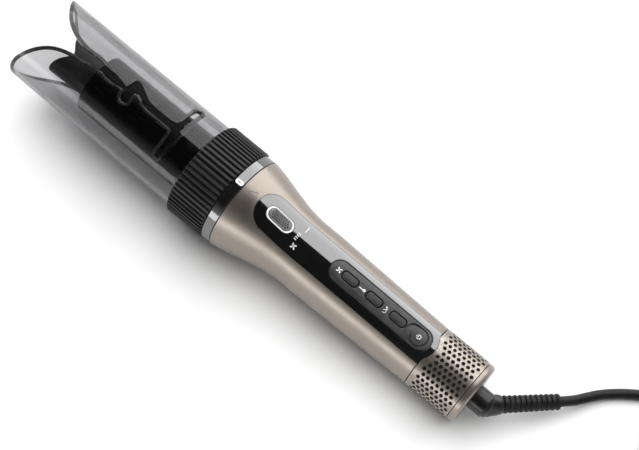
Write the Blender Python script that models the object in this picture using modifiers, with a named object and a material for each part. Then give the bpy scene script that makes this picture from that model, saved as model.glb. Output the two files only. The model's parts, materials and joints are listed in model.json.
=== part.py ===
"""Automatic hair curler: a hand-held air styler with a clear shroud round a heated barrel.

The tool is modelled along its own axis: +X runs from the cord end to the tip, +Z is the side with
the control panel. An empty tilts it so that the grip collar and the rear sleeve rest on z = 0.
All lengths below are millimetres; MM turns them into Blender's metres.
"""

import math

import bmesh
import bpy
from mathutils import Euler, Matrix, Vector

MM = 0.001
GAP = 0.3                      # clearance kept between pieces that touch

# Stations along the tool axis, from the rear face of the end cap
CAP_FRONT = 3.9
SLEEVE_REAR = 4.6
SLEEVE_FRONT = 34.3
SHELL_REAR = 34.6
SHELL_FRONT = 171.5
BAND_REAR = 171.9
BAND_FRONT = 177.9
COLLAR_REAR = 178.3
COLLAR_FRONT = 204.5
BARREL_FRONT = 285.1
COOL_TIP_FRONT = 315.5
TUBE_REAR = 184.0
TUBE_FRONT = 331.5

# Radii
SLEEVE_RADIUS = 19.6
HANDLE_REAR_RADIUS = 19.55
HANDLE_GRIP_GROWTH = 1.9       # widening from the rear end to the middle of the grip
GRIP_END = 114.6               # station where that widening stops
FLARE_START = 127.0
FLARE_LENGTH = 54.0
FLARE_HEIGHT = 9.15
BAND_RADIUS = 29.9
COLLAR_RADIUS = 30.9
TUBE_RADIUS = 28.45
TUBE_WALL = 2.15
BARREL_RADIUS = 19.0
COOL_TIP_RADIUS = 13.0
SWIVEL_RADIUS = 7.5
SHELL_WALL = 2.0
COLLAR_CHAMFER = 0.9
COLLAR_RIBS = 60

# Control panel
PANEL_FRONT = 160.0
PANEL_HALF_WIDTH = 11.1
PANEL_CORNER = 10.0
PANEL_TAIL = 31.7              # rear end of the panel on the centre line
PANEL_TAIL_SIDE = 34.9         # and at its two edges
TAIL_FLAT = 0.12               # share of the half width over which the rear end is straight
PANEL_THICKNESS = 1.6
BEZEL_REAR = 35.2
BEZEL_FRONT = 106.5
BEZEL_WIDTH = 13.3
BEZEL_DEPTH = 1.9
BEZEL_PROUD = 0.5
THUMB_STATION = 144.5
THUMB_OPENING = (19.2, 9.2)    # length and width of the panel's opening for the thumb control
THUMB_RING = (18.6, 8.6)
THUMB_RING_HOLE = (16.0, 6.9)
THUMB_PAD = (15.4, 6.3)
KEYS = {"speed_button": 92.9, "heat_button": 75.4, "direction_button": 58.2}
KEY_LENGTH = 10.5
KEY_WIDTH = 5.0
KEY_TRAVEL = 0.8
SLIDER_STATION = 43.1
SLIDER_RADIUS = 5.0
SLIDER_TRAVEL = 3.5
BOARD_TOP = 15.6
BOARD_THICKNESS = 1.2
BOARD_HALF_WIDTH = 7.4
SWITCH_TOP = 17.1
THUMB_SWITCH_TOP = 18.6

# Swivel, strain relief and cord
RELIEF_ROOT = -8.5             # station where the relief's axis meets the tool axis
RELIEF_YAW = math.radians(45.7)
RELIEF_DROOP = math.radians(8.3)
RELIEF_BOSS = 9.0
RELIEF_LENGTH = 34.1
RELIEF_RIBS = 11
CORD_RADIUS = 3.0
COIL_CENTRE = (-287.6, -59.8)
COIL_MIDDLE = 33.0             # radius at the middle of the turns
COIL_PITCH = 6.1
COIL_FLOOR = 0.9
COIL_LAYERS = 3
COIL_ENTRY = math.radians(-49.5)
COIL_TURNS = 7.9
TAIL_SWEEP = math.radians(125.0)
PLUG_HALF_HEIGHT = 13.0
PLUG_HALF_WIDTH = 18.0
PLUG_LENGTH = 38.0
PIN_LENGTH = 19.0
PIN_RADIUS = 2.4
PIN_SPACING = 19.0

# Attitude on the table: the collar's rear edge and the sleeve's rear edge touch z = 0
REST_STATION = COLLAR_REAR + COLLAR_CHAMFER
TILT = math.atan((COLLAR_RADIUS - SLEEVE_RADIUS) / (REST_STATION - SLEEVE_REAR))
AXIS_HEIGHT = SLEEVE_RADIUS * math.cos(TILT) - SLEEVE_REAR * math.sin(TILT)
SWIVEL_REAR = -13.2
RELIEF_BOSS_REAR = -18.6       # rearmost point of the boss that holds the strain relief
LOBE_FRONT = 330.9             # foremost point of the shroud's two lobes
AXIS_START = -(LOBE_FRONT + RELIEF_BOSS_REAR) / 2 * math.cos(TILT)

FINISHES = {
    # name: (colour, roughness, metallic, alpha)
    "champagne": ((0.47, 0.41, 0.35), 0.34, 0.85, 1.0),
    "gloss_black": ((0.012, 0.012, 0.013), 0.07, 0.0, 1.0),
    "satin_black": ((0.020, 0.020, 0.022), 0.38, 0.0, 1.0),
    "rubber_black": ((0.016, 0.016, 0.017), 0.55, 0.0, 1.0),
    "smoke_clear": ((0.45, 0.45, 0.47), 0.03, 0.0, 0.35),
    "barrel_black": ((0.010, 0.010, 0.012), 0.30, 0.2, 1.0),
    "tip_grey": ((0.06, 0.058, 0.056), 0.45, 0.0, 1.0),
    "key_grey": ((0.10, 0.10, 0.10), 0.42, 0.0, 1.0),
    "white": ((0.85, 0.85, 0.85), 0.35, 0.0, 1.0),
    "board_green": ((0.02, 0.12, 0.05), 0.5, 0.0, 1.0),
    "steel": ((0.55, 0.55, 0.56), 0.3, 1.0, 1.0),
    "mica": ((0.55, 0.50, 0.40), 0.5, 0.0, 1.0),
    "nylon_grey": ((0.25, 0.25, 0.26), 0.5, 0.0, 1.0),
    "brass": ((0.70, 0.55, 0.25), 0.3, 1.0, 1.0),
}


# ---------------------------------------------------------------- scene and materials

def clear_scene():
    for obj in list(bpy.data.objects):
        bpy.data.objects.remove(obj, do_unlink=True)


def new_collection(name):
    collection = bpy.data.collections.new(name)
    bpy.context.scene.collection.children.link(collection)
    return collection


def new_empty(name, location=(0, 0, 0), rotation=(0, 0, 0), parent=None):
    empty = bpy.data.objects.new(name, None)
    empty.location = [v * MM for v in location]
    empty.rotation_euler = rotation
    empty.parent = parent
    PARTS.objects.link(empty)
    return empty


def make_material(name, finish):
    colour, roughness, metallic, alpha = FINISHES[finish]
    material = bpy.data.materials.new(name)
    material.use_nodes = True
    shader = material.node_tree.nodes["Principled BSDF"]
    shader.inputs["Base Color"].default_value = (*colour, 1.0)
    shader.inputs["Roughness"].default_value = roughness
    shader.inputs["Metallic"].default_value = metallic
    shader.inputs["Alpha"].default_value = alpha
    return material


def new_part(name, mesh, finish, parent=None, location=(0, 0, 0), rotation=(0, 0, 0)):
    """A named piece when it has a finish, or a cutter when it has none."""
    obj = bpy.data.objects.new(name, mesh)
    obj.location = [v * MM for v in location]
    obj.rotation_euler = rotation
    obj.parent = parent
    if finish:
        PARTS.objects.link(obj)
        mesh.materials.append(make_material(name, finish))
    else:
        CUTTERS.objects.link(obj)
        obj.hide_render = True
        obj.display_type = 'WIRE'
    return obj


def combine(target, other, operation):
    modifier = target.modifiers.new(other.name, 'BOOLEAN')
    modifier.operation = operation
    modifier.solver = 'EXACT'
    modifier.object = other


def round_edges(obj, width, segments=2, angle=40):
    modifier = obj.modifiers.new("rounded edges", 'BEVEL')
    modifier.width = width * MM
    modifier.segments = segments
    modifier.limit_method = 'ANGLE'
    modifier.angle_limit = math.radians(angle)


# ---------------------------------------------------------------- shape makers

def turned(name, section, finish, parent=None, steps=48, location=(0, 0, 0), rotation=None):
    """Turn a section of (station, radius) about the axis; its outer side runs front to rear."""
    mesh = bpy.data.meshes.new(name)
    is_ring = section[0][1] > 0
    corners = [(radius * MM, 0, station * MM) for station, radius in section]
    edges = [(i, i + 1) for i in range(len(corners) - 1)]
    if is_ring:
        edges.append((len(corners) - 1, 0))
    mesh.from_pydata(corners, edges, [])
    along_x = (0, math.pi / 2, 0) if rotation is None else rotation
    obj = new_part(name, mesh, finish, parent, location, along_x)
    screw = obj.modifiers.new("turn", 'SCREW')
    screw.axis = 'Z'
    screw.steps = steps
    screw.render_steps = steps
    screw.use_merge_vertices = True
    screw.merge_threshold = 0.000005
    screw.use_smooth_shade = True
    return obj


def ring_section(rear, front, inner, outer):
    return [(front, outer), (rear, outer), (rear, inner), (front, inner)]


def block(name, low, high, finish, parent=None, location=(0, 0, 0), rotation=(0, 0, 0)):
    """A box between two corners given relative to its origin."""
    bm = bmesh.new()
    bmesh.ops.create_cube(bm, size=1.0)
    size = [(h - l) * MM for l, h in zip(low, high)]
    centre = [(h + l) / 2 * MM for l, h in zip(low, high)]
    bmesh.ops.scale(bm, vec=size, verts=bm.verts)
    bmesh.ops.translate(bm, vec=centre, verts=bm.verts)
    mesh = bpy.data.meshes.new(name)
    bm.to_mesh(mesh)
    bm.free()
    return new_part(name, mesh, finish, parent, location, rotation)


def curve_to_mesh(curve):
    """The evaluated mesh of a curve, with its caps welded on."""
    carrier = bpy.data.objects.new("carrier", curve)
    bpy.context.scene.collection.objects.link(carrier)
    graph = bpy.context.evaluated_depsgraph_get()
    mesh = bpy.data.meshes.new_from_object(carrier.evaluated_get(graph))
    bpy.data.objects.remove(carrier)
    bm = bmesh.new()
    bm.from_mesh(mesh)
    bmesh.ops.remove_doubles(bm, verts=bm.verts, dist=0.000002)
    bmesh.ops.recalc_face_normals(bm, faces=bm.faces)
    bm.to_mesh(mesh)
    bm.free()
    return mesh


def plate(name, loops, low, high, finish, parent=None, location=(0, 0, 0), rotation=(0, 0, 0)):
    """A flat outline, with any further loops as holes, extruded from low to high."""
    curve = bpy.data.curves.new(name, 'CURVE')
    curve.dimensions = '2D'
    curve.fill_mode = 'BOTH'
    curve.extrude = (high - low) / 2 * MM
    for loop in loops:
        spline = curve.splines.new('POLY')
        spline.points.add(len(loop) - 1)
        for point, (x, y) in zip(spline.points, loop):
            point.co = (x * MM, y * MM, 0, 1)
        spline.use_cyclic_u = True
    mesh = curve_to_mesh(curve)
    mesh.transform(Matrix.Translation((0, 0, (low + high) / 2 * MM)))
    return new_part(name, mesh, finish, parent, location, rotation)


def tube(name, points, radius, finish, parent=None):
    """A bevelled POLY curve with filled caps, kept as a curve object."""
    curve = bpy.data.curves.new(name, 'CURVE')
    curve.dimensions = '3D'
    curve.bevel_depth = radius * MM
    curve.bevel_resolution = 2
    curve.use_fill_caps = True
    spline = curve.splines.new('POLY')
    spline.points.add(len(points) - 1)
    for point, position in zip(spline.points, points):
        point.co = (*[v * MM for v in position], 1)
    obj = bpy.data.objects.new(name, curve)
    obj.parent = parent
    PARTS.objects.link(obj)
    curve.materials.append(make_material(name, finish))
    return obj


def rounded_outline(length, width, radius, centre=(0, 0), segments=5):
    """A rectangle with round corners, as a loop of points."""
    loop = []
    for quarter, (sx, sy) in enumerate(((1, 1), (-1, 1), (-1, -1), (1, -1))):
        cx = centre[0] + sx * (length / 2 - radius)
        cy = centre[1] + sy * (width / 2 - radius)
        for step in range(segments + 1):
            angle = math.pi / 2 * (quarter + step / segments)
            point = (cx + radius * math.cos(angle), cy + radius * math.sin(angle))
            if not loop or math.dist(point, loop[-1]) > 0.01:
                loop.append(point)
    if math.dist(loop[0], loop[-1]) < 0.01:
        loop.pop()
    return loop


def capsule(length, width):
    """An outline with half-round ends."""
    return rounded_outline(length, width, width / 2)


def smoothstep(t):
    t = min(max(t, 0.0), 1.0)
    return t * t * (3 - 2 * t)


def catmull_rom(route, samples=16):
    """Points on one smooth curve through a route."""
    route = [Vector(p) for p in route]
    padded = [2 * route[0] - route[1], *route, 2 * route[-1] - route[-2]]
    points = []
    for a, b, c, d in zip(padded, padded[1:], padded[2:], padded[3:]):
        for step in range(samples):
            t = step / samples
            points.append(0.5 * (2 * b + (c - a) * t + (2 * a - 5 * b + 4 * c - d) * t * t
                                 + (3 * b - a - 3 * c + d) * t ** 3))
    points.append(route[-1])
    return points


def even_points(points, spacing):
    """Thin a dense path to points about one spacing apart, both ends kept."""
    kept = [points[0]]
    for point in points[1:-1]:
        if (point - kept[-1]).length >= spacing and (point - points[-1]).length > spacing * 0.6:
            kept.append(point)
    return kept + [points[-1]]


# ---------------------------------------------------------------- handle

def handle_radius(station):
    grip = (station - SHELL_REAR) / (GRIP_END - SHELL_REAR)
    base = HANDLE_REAR_RADIUS + HANDLE_GRIP_GROWTH * min(max(grip, 0.0), 1.0)
    return base + FLARE_HEIGHT * smoothstep((station - FLARE_START) / FLARE_LENGTH)


def handle_slope(station):
    step = 0.5
    return math.atan((handle_radius(station + step) - handle_radius(station - step)) / (2 * step))


def handle_section(rear, front, outer_offset, inner_offset):
    """The handle's skin between two stations and two offsets from its surface."""
    flare_steps = 5
    stations = [front - (front - FLARE_START) * i / flare_steps for i in range(flare_steps + 1)]
    stations += [GRIP_END, rear]
    outer = [(s, handle_radius(s) + outer_offset) for s in stations]
    inner = [(s, handle_radius(s) + inner_offset) for s in reversed(stations)]
    return outer + inner


def panel_outline(offset, segments=6):
    """Plan of the control panel: round front corners and a wavy rear end."""
    half = PANEL_HALF_WIDTH + offset
    front = PANEL_FRONT + offset
    corner = PANEL_CORNER + offset
    loop = []
    for step in range(segments + 1):
        angle = math.pi / 2 * step / segments
        loop.append((front - corner + corner * math.cos(angle),
                     half - corner + corner * math.sin(angle)))
    for step in range(4 * segments + 1):
        y = half * (1 - step / (2 * segments))
        loop.append((tail_station(y, offset), y))
    for x, y in reversed(loop[:segments + 1]):
        loop.append((x, -y))
    return loop


def tail_station(y, offset=0.0):
    """Rear edge of the panel at a distance from its centre line: a soft wave."""
    share = min(abs(y) / PANEL_HALF_WIDTH, 1.0)
    depth = PANEL_TAIL_SIDE - PANEL_TAIL
    return PANEL_TAIL - offset + depth * smoothstep((share - TAIL_FLAT) / (1 - TAIL_FLAT))


def build_shells(tool):
    upper = turned("upper_shell", handle_section(SHELL_REAR, SHELL_FRONT, 0, -SHELL_WALL),
                   "champagne", tool, steps=48)
    lower = turned("lower_shell", handle_section(SHELL_REAR, SHELL_FRONT, 0, -SHELL_WALL),
                   "champagne", tool, steps=48)
    top_half = block("top_half", (0, -40, GAP / 2), (200, 40, 40), None, tool)
    bottom_half = block("bottom_half", (0, -40, -40), (200, 40, -GAP / 2), None, tool)
    combine(upper, top_half, 'INTERSECT')
    combine(lower, bottom_half, 'INTERSECT')
    window = plate("panel_window", [panel_outline(GAP)], 5, 40, None, tool)
    combine(upper, window, 'DIFFERENCE')
    add_screw_bosses(lower, tool)


def add_screw_bosses(lower, tool):
    """Four bosses in the lower half, each with a counterbored hole, and their screws."""
    upright = (0, 0, 0)
    places = ((88, 14.8, -10.5), (88, -14.8, -10.5), (159.5, 19.5, -14.5), (159.5, -19.5, -14.5))
    for number, (station, side, floor) in enumerate(places, start=1):
        place = (station, side, 0)
        boss = turned(f"boss_{number}", [(-1, 0), (-1, 2.7), (floor, 2.7), (floor, 0)], None, tool,
                      10, place, upright)
        hole = turned(f"boss_hole_{number}",
                      [(0, 0), (0, 1.1), (-5, 1.1), (-5, 2.1), (-30, 2.1), (-30, 0)], None, tool,
                      10, place, upright)
        combine(lower, boss, 'UNION')
        combine(lower, hole, 'DIFFERENCE')
        turned(f"shell_screw_{number}",
               [(4, 0), (4, 0.8), (-5.3, 0.8), (-5.3, 1.8), (-6.6, 1.8), (-6.6, 0)], "steel",
               tool, 10, place, upright)


# ---------------------------------------------------------------- controls

def build_panel(tool, bezel_frame, thumb_frame):
    panel = turned("control_panel",
                   handle_section(PANEL_TAIL - 2, PANEL_FRONT + 2, 0.1, 0.1 - PANEL_THICKNESS),
                   "gloss_black", tool, steps=60)
    plan = plate("panel_plan", [panel_outline(0)], 5, 40, None, tool)
    combine(panel, plan, 'INTERSECT')
    bezel_length = BEZEL_FRONT - BEZEL_REAR
    bezel_hole = plate("bezel_hole",
                       [rounded_outline(bezel_length + 2 * GAP, BEZEL_WIDTH + 2 * GAP,
                                        BEZEL_WIDTH / 2 + GAP)], -8, 8, None, bezel_frame)
    combine(panel, bezel_hole, 'DIFFERENCE')
    thumb_hole = plate("thumb_hole", [capsule(*THUMB_OPENING)], -8, 8, None, thumb_frame)
    combine(panel, thumb_hole, 'DIFFERENCE')


def build_bezel(bezel_frame):
    middle = (BEZEL_FRONT + BEZEL_REAR) / 2
    outline = rounded_outline(BEZEL_FRONT - BEZEL_REAR, BEZEL_WIDTH, BEZEL_WIDTH / 2)
    slot_centre = SLIDER_STATION + SLIDER_TRAVEL / 2 - middle
    bezel = plate("button_bezel", [outline], -BEZEL_DEPTH, BEZEL_PROUD, "key_grey", bezel_frame)
    recess_length = SLIDER_TRAVEL + 2 * SLIDER_RADIUS + 0.8
    recess = plate("slider_recess",
                   [rounded_outline(recess_length, 2 * SLIDER_RADIUS + 0.8, SLIDER_RADIUS + 0.3,
                                    (slot_centre, 0), 8)], -0.9, 4, None, bezel_frame)
    stem_slot = plate("stem_slot",
                      [rounded_outline(SLIDER_TRAVEL + 3.2, 3.2, 1.5, (slot_centre, 0), 4)],
                      -5, 2, None, bezel_frame)
    combine(bezel, recess, 'DIFFERENCE')
    combine(bezel, stem_slot, 'DIFFERENCE')
    for name, station in KEYS.items():
        opening = plate(name + "_opening",
                        [rounded_outline(KEY_LENGTH + 0.6, KEY_WIDTH + 0.6, 2.3, (0, 0), 3)],
                        -5, 4, None, bezel_frame, (station - middle, 0, 0))
        combine(bezel, opening, 'DIFFERENCE')


def build_keys(bezel_frame):
    middle = (BEZEL_FRONT + BEZEL_REAR) / 2
    for name, station in KEYS.items():
        bottom = SWITCH_TOP + GAP + KEY_TRAVEL - handle_radius(station)
        key = plate(name, [rounded_outline(KEY_LENGTH, KEY_WIDTH, 2.0, (0, 0), 3)], bottom,
                    BEZEL_PROUD + 0.25, "key_grey", bezel_frame, (station - middle, 0, 0))
        round_edges(key, 0.3, 1)
    knob = [(BEZEL_PROUD - 0.05, 0), (BEZEL_PROUD - 0.05, SLIDER_RADIUS - 0.5),
            (BEZEL_PROUD - 0.4, SLIDER_RADIUS), (-0.6, SLIDER_RADIUS), (-0.6, 1.3),
            (-2.1, 1.3), (-2.1, 0)]
    turned("power_slider", knob, "key_grey", bezel_frame, 32,
           (SLIDER_STATION - middle, 0, 0), (0, 0, 0))


def build_thumb_control(thumb_frame):
    plate("thumb_ring", [capsule(*THUMB_RING), capsule(*THUMB_RING_HOLE)], -1.9, 0.35, "white",
          thumb_frame)
    button = plate("thumb_button", [capsule(*THUMB_PAD)], -3.2, 0.55, "satin_black", thumb_frame)
    round_edges(button, 0.2, 1)


def build_board(tool):
    holes = [(station, side) for station in (66.0, 116.0) for side in (-5.5, 5.5)]
    rear, front = 37.5, 152.0
    middle = (rear + front) / 2
    loops = [rounded_outline(front - rear, 2 * BOARD_HALF_WIDTH, 1.0, (middle, 0), 2)]
    loops += [[(x + 1.05 * math.cos(a), y + 1.05 * math.sin(a))
               for a in (2 * math.pi * k / 12 for k in range(12))] for x, y in holes]
    plate("circuit_board", loops, BOARD_TOP - BOARD_THICKNESS, BOARD_TOP, "board_green", tool)
    upright = (0, 0, 0)
    for number, (station, side) in enumerate(holes, start=1):
        turned(f"board_screw_{number}",
               [(17.0, 0), (17.0, 1.3), (15.9, 1.3), (15.9, 0.7), (13.1, 0.7), (13.1, 0)],
               "steel", tool, 10, (station, side, 0), upright)
    switches = [(station, SWITCH_TOP) for station in KEYS.values()]
    switches.append((THUMB_STATION, THUMB_SWITCH_TOP))
    for number, (station, top) in enumerate(switches, start=1):
        section = [(top, 0), (top, 1.2), (top - 0.5, 1.2), (top - 0.5, 2.6), (15.9, 2.6), (15.9, 0)]
        turned(f"tactile_switch_{number}", section, "satin_black", tool, 12, (station, 0, 0),
               upright)
    block("slide_switch", (39.5, -3, 15.9), (50.5, 3, 17.2), "steel", tool)


# ---------------------------------------------------------------- fan, motor and heater

def spokes(target, count, low, high, parent, name, twist=0.0, centre=0.0, start=0.0):
    """Join a ring of blades to a turned piece; each reaches outwards along its own radius."""
    for index in range(count):
        angle = start + 2 * math.pi * index / count
        turn = Euler((angle, 0, 0)).to_matrix() @ Euler((0, 0, twist)).to_matrix()
        blade = block(f"{name}_{index + 1}", low, high, None, parent, (centre, 0, 0),
                      turn.to_euler())
        combine(target, blade, 'UNION')


def build_blower(tool):
    housing = turned("fan_housing", ring_section(40, 76, 12.6, 13.7), "nylon_grey", tool, 32)
    spokes(housing, 5, (-8, -0.5, 9.75), (8, 0.5, 13.0), tool, "stator_vane", centre=62,
           start=math.radians(36))
    turned("motor_can", ring_section(52, 74, 1.3, 9.45), "steel", tool, 24)
    turned("motor_shaft", [(75.0, 0), (75.0, 1.0), (41.0, 1.0), (41.0, 0)], "steel", tool, 12)
    impeller = turned("impeller", [(50, 1.3), (50, 6.6), (46, 6.0), (43, 4.0), (43, 1.3)],
                      "nylon_grey", tool, 27)
    spokes(impeller, 9, (-2.8, -0.4, 3.6), (2.8, 0.4, 11.8), tool, "fan_blade",
           math.radians(32), 46.5)
    for name, rear, front in (("rear_motor_mount", 44, 48), ("front_motor_mount", 68, 72)):
        outer = handle_radius(rear) - SHELL_WALL - GAP
        mount = turned(name, ring_section(rear, front, 14.0, outer), "rubber_black", tool, 32)
        relief = block(name + "_flat", (0, -30, 13.9), (100, 30, 40), None, tool)
        combine(mount, relief, 'DIFFERENCE')


def build_heater(tool):
    turned("heater_sleeve", ring_section(100, 158, 12.8, 13.8), "mica", tool, 32)
    frame = block("heater_frame", (104, -9.5, -0.4), (155, 9.5, 0.4), "mica", tool)
    upright = block("mica_upright", (104, -0.4, -9.5), (155, 0.4, 9.5), None, tool)
    combine(frame, upright, 'UNION')
    turns, per_turn, radius = 4, 9, 11.0
    helix = []
    for step in range(turns * per_turn + 1):
        angle = 2 * math.pi * step / per_turn
        helix.append((109 + 40 * step / (turns * per_turn), radius * math.cos(angle),
                      radius * math.sin(angle)))
    tube("heater_coil", helix, 0.45, "steel", tool)
    turned("thermal_fuse", [(125, 0), (125, 1.6), (113, 1.6), (113, 0)], "steel", tool, 12,
           (0, 4.2, -4.2))
    grille = turned("outlet_grille", ring_section(160.5, 162.3, 13.2, 14.2), "nylon_grey", tool, 32)
    spokes(grille, 2, (-0.9, -0.6, -13.6), (0.9, 0.6, 13.6), tool, "grille_bar", centre=161.4,
           start=0.0)
    hub = turned("grille_hub", [(162.3, 0), (162.3, 4), (160.5, 4), (160.5, 0)], None, tool, 16)
    combine(grille, hub, 'UNION')


# ---------------------------------------------------------------- rear end

def build_rear(tool):
    frame = turned("tail_frame", ring_section(4.9, 8.4, 6.4, 16.5), "nylon_grey", tool, 32)
    front_ring = turned("tail_ring", ring_section(34.9, 37.1, 15.2, 16.9), None, tool, 32)
    combine(frame, front_ring, 'UNION')
    spokes(frame, 4, (-14.5, -1.6, 15.25), (14.5, 1.6, 16.4), tool, "tail_leg", centre=21.5,
           start=math.radians(45))

    sleeve = turned("inlet_sleeve",
                    [(SLEEVE_FRONT, SLEEVE_RADIUS - 0.1), (SLEEVE_FRONT - 0.5, SLEEVE_RADIUS),
                     (SLEEVE_REAR, SLEEVE_RADIUS), (SLEEVE_REAR, SLEEVE_RADIUS - 1.4),
                     (SLEEVE_FRONT, SLEEVE_RADIUS - 1.4)], "champagne", tool, 48)
    notch = plate("sleeve_notch", [panel_outline(GAP)], 5, 40, None, tool)
    combine(sleeve, notch, 'DIFFERENCE')
    turned("inlet_filter", ring_section(5.0, 30.5, 17.2, 17.8), "steel", tool, 36)
    turned("end_cap", [(CAP_FRONT, 19.3), (1.6, 19.3), (0.5, 18.9), (0, 18.0), (0, 8.1),
                       (CAP_FRONT, 8.1)], "champagne", tool, 40)


def relief_direction():
    """Way the strain relief points, in the tool's own frame."""
    flat = math.cos(RELIEF_DROOP)
    return Vector((-flat * math.cos(RELIEF_YAW), -flat * math.sin(RELIEF_YAW),
                   -math.sin(RELIEF_DROOP)))


def build_swivel(tool):
    block_section = [(10.5, 0), (10.5, 9.0), (8.7, 9.0), (8.7, 6.1), (4.3, 6.1),
                     (4.3, SWIVEL_RADIUS), (-9.0, SWIVEL_RADIUS), (-11.6, 6.2),
                     (SWIVEL_REAR, 3.6), (SWIVEL_REAR, 0)]
    swivel = turned("swivel_block", block_section, "satin_black", tool, 28)
    aim = relief_direction().to_track_quat('Z', 'Y').to_euler()
    root = (RELIEF_ROOT, 0, 0)
    boss = turned("relief_boss", [(RELIEF_BOSS, 0), (RELIEF_BOSS, 5.4), (0, 6.4), (0, 0)],
                  None, tool, 20, root, aim)
    combine(swivel, boss, 'UNION')
    section = []
    pitch = RELIEF_LENGTH / RELIEF_RIBS
    start = RELIEF_BOSS + GAP
    for rib in reversed(range(RELIEF_RIBS)):
        crest = 5.1 - 0.5 * rib / RELIEF_RIBS
        valley = crest - 0.9
        base = start + rib * pitch
        section += [(base + pitch, valley), (base + pitch * 0.8, crest),
                    (base + pitch * 0.25, crest)]
    section = [(section[0][0], 0), *section, (start, section[-1][1]), (start, 0)]
    turned("strain_relief", section, "rubber_black", tool, 12, root, aim)


# ---------------------------------------------------------------- styling head

def build_band(tool):
    section = [(200.0, 26.0), (BAND_FRONT, 26.0), (BAND_FRONT, 29.5),
               (BAND_FRONT - 0.4, BAND_RADIUS), (BAND_REAR + 0.4, BAND_RADIUS),
               (BAND_REAR, 29.5), (BAND_REAR, 18.6), (163.6, 18.6), (163.6, 17.0),
               (BAND_FRONT, 17.0), (BAND_FRONT, 24.6), (200.0, 24.6)]
    band = turned("base_band", section, "gloss_black", tool, 48)
    spokes(band, 3, (-1.5, -2.4, 18.0), (1.5, 2.4, 19.0), tool, "lug", centre=166.5)
    turned("bayonet_ring", ring_section(163.4, 170.0, 19.4, 23.2), "nylon_grey", tool, 36)


def build_collar(tool):
    root_radius = COLLAR_RADIUS - 1.3
    outline = []
    pitch = 2 * math.pi / COLLAR_RIBS
    for rib in range(COLLAR_RIBS):
        centre = rib * pitch
        for shift, radius in ((-0.29, COLLAR_RADIUS), (0.29, COLLAR_RADIUS),
                              (0.5, root_radius)):
            angle = centre + shift * pitch
            outline.append((radius * math.cos(angle), radius * math.sin(angle)))
    bore = [(28.8 * math.cos(a), 28.8 * math.sin(a))
            for a in (2 * math.pi * k / 40 for k in range(40))]
    along_x = (0, math.pi / 2, 0)
    collar = plate("grip_collar", [outline, bore], COLLAR_REAR, COLLAR_FRONT, "rubber_black",
                   tool, (0, 0, 0), along_x)
    ends = COLLAR_RADIUS - 1.5
    envelope = turned("collar_envelope",
                      [(COLLAR_FRONT + 0.5, 0), (COLLAR_FRONT + 0.5, ends - 0.4),
                       (COLLAR_FRONT - COLLAR_CHAMFER, COLLAR_RADIUS + 0.02),
                       (REST_STATION, COLLAR_RADIUS + 0.02),
                       (COLLAR_REAR - 0.5, ends - 0.4), (COLLAR_REAR - 0.5, 0)],
                      None, tool, 60)
    combine(collar, envelope, 'INTERSECT')


def mouth_outline():
    """Plan of the V mouth: the open front narrows along two hollow curves into the slot."""
    depth_and_half_width = ((-6, 34), (0.0, 30.0), (1.6, 26.4), (5.0, 21.8), (9.0, 17.1),
                            (13.5, 12.6), (18.5, 8.8), (24.5, 5.9), (31.0, 4.1), (40.0, 2.7),
                            (50.0, 1.9))
    near = [(TUBE_FRONT - depth, half) for depth, half in depth_and_half_width]
    return near + [(x, -y) for x, y in reversed(near)]


def hair_slot_outline():
    """Plan of the hair slot: leaf-shaped throat, barbed pocket, straight run and cross slot."""
    return [
        # the -Y edge, from the mouth back to the cross slot
        (295.0, -3.4), (286.0, -3.9), (280.0, -3.2), (272.0, -3.1), (266.0, -2.0),
        (262.3, -0.9), (260.8, -9.0), (258.2, -8.9), (248.0, -3.8), (245.0, -2.8),
        (229.5, -2.7), (226.2, -3.4), (224.6, -5.2), (224.3, -8.0),
        # round the cross slot
        (224.3, -19.0), (223.5, -20.4), (221.9, -20.4), (221.1, -19.0),
        (221.1, 17.2), (221.9, 18.6), (223.5, 18.6), (224.3, 17.2),
        # the +Y edge, forward again
        (224.3, 4.4), (224.9, 2.3), (226.8, 1.2), (244.0, 1.1), (248.5, 0.2),
        (252.0, -1.7), (254.5, -2.0), (256.4, -0.4), (257.0, 2.1), (255.4, 4.6),
        (256.2, 6.6), (258.5, 7.2), (260.9, 6.3), (261.9, 3.2), (262.1, 0.3),
        (266.0, 1.2), (270.0, 2.0), (275.0, 1.7), (280.0, 1.0), (286.0, 1.8), (295.0, 3.4),
    ]


def build_tube(tool):
    section = ring_section(TUBE_REAR, TUBE_FRONT, TUBE_RADIUS - TUBE_WALL, TUBE_RADIUS)
    shroud = turned("shroud_tube", section, "smoke_clear", tool, 64)
    mouth = plate("mouth", [mouth_outline()], -40, 40, None, tool)
    combine(shroud, mouth, 'DIFFERENCE')
    slot = plate("hair_slot", [hair_slot_outline()], 5, 40, None, tool)
    combine(shroud, slot, 'DIFFERENCE')


def tip_notch_outline():
    """Plan of the cool tip's V notch, which lines up with the shroud's mouth."""
    near = [(320.0, 16.0), (314.6, 13.4), (313.3, 11.6), (311.8, 9.2), (309.9, 6.6),
            (307.6, 4.0), (305.7, 1.8)]
    return near + [(304.9, 0.0)] + [(x, -y) for x, y in reversed(near)]


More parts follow.
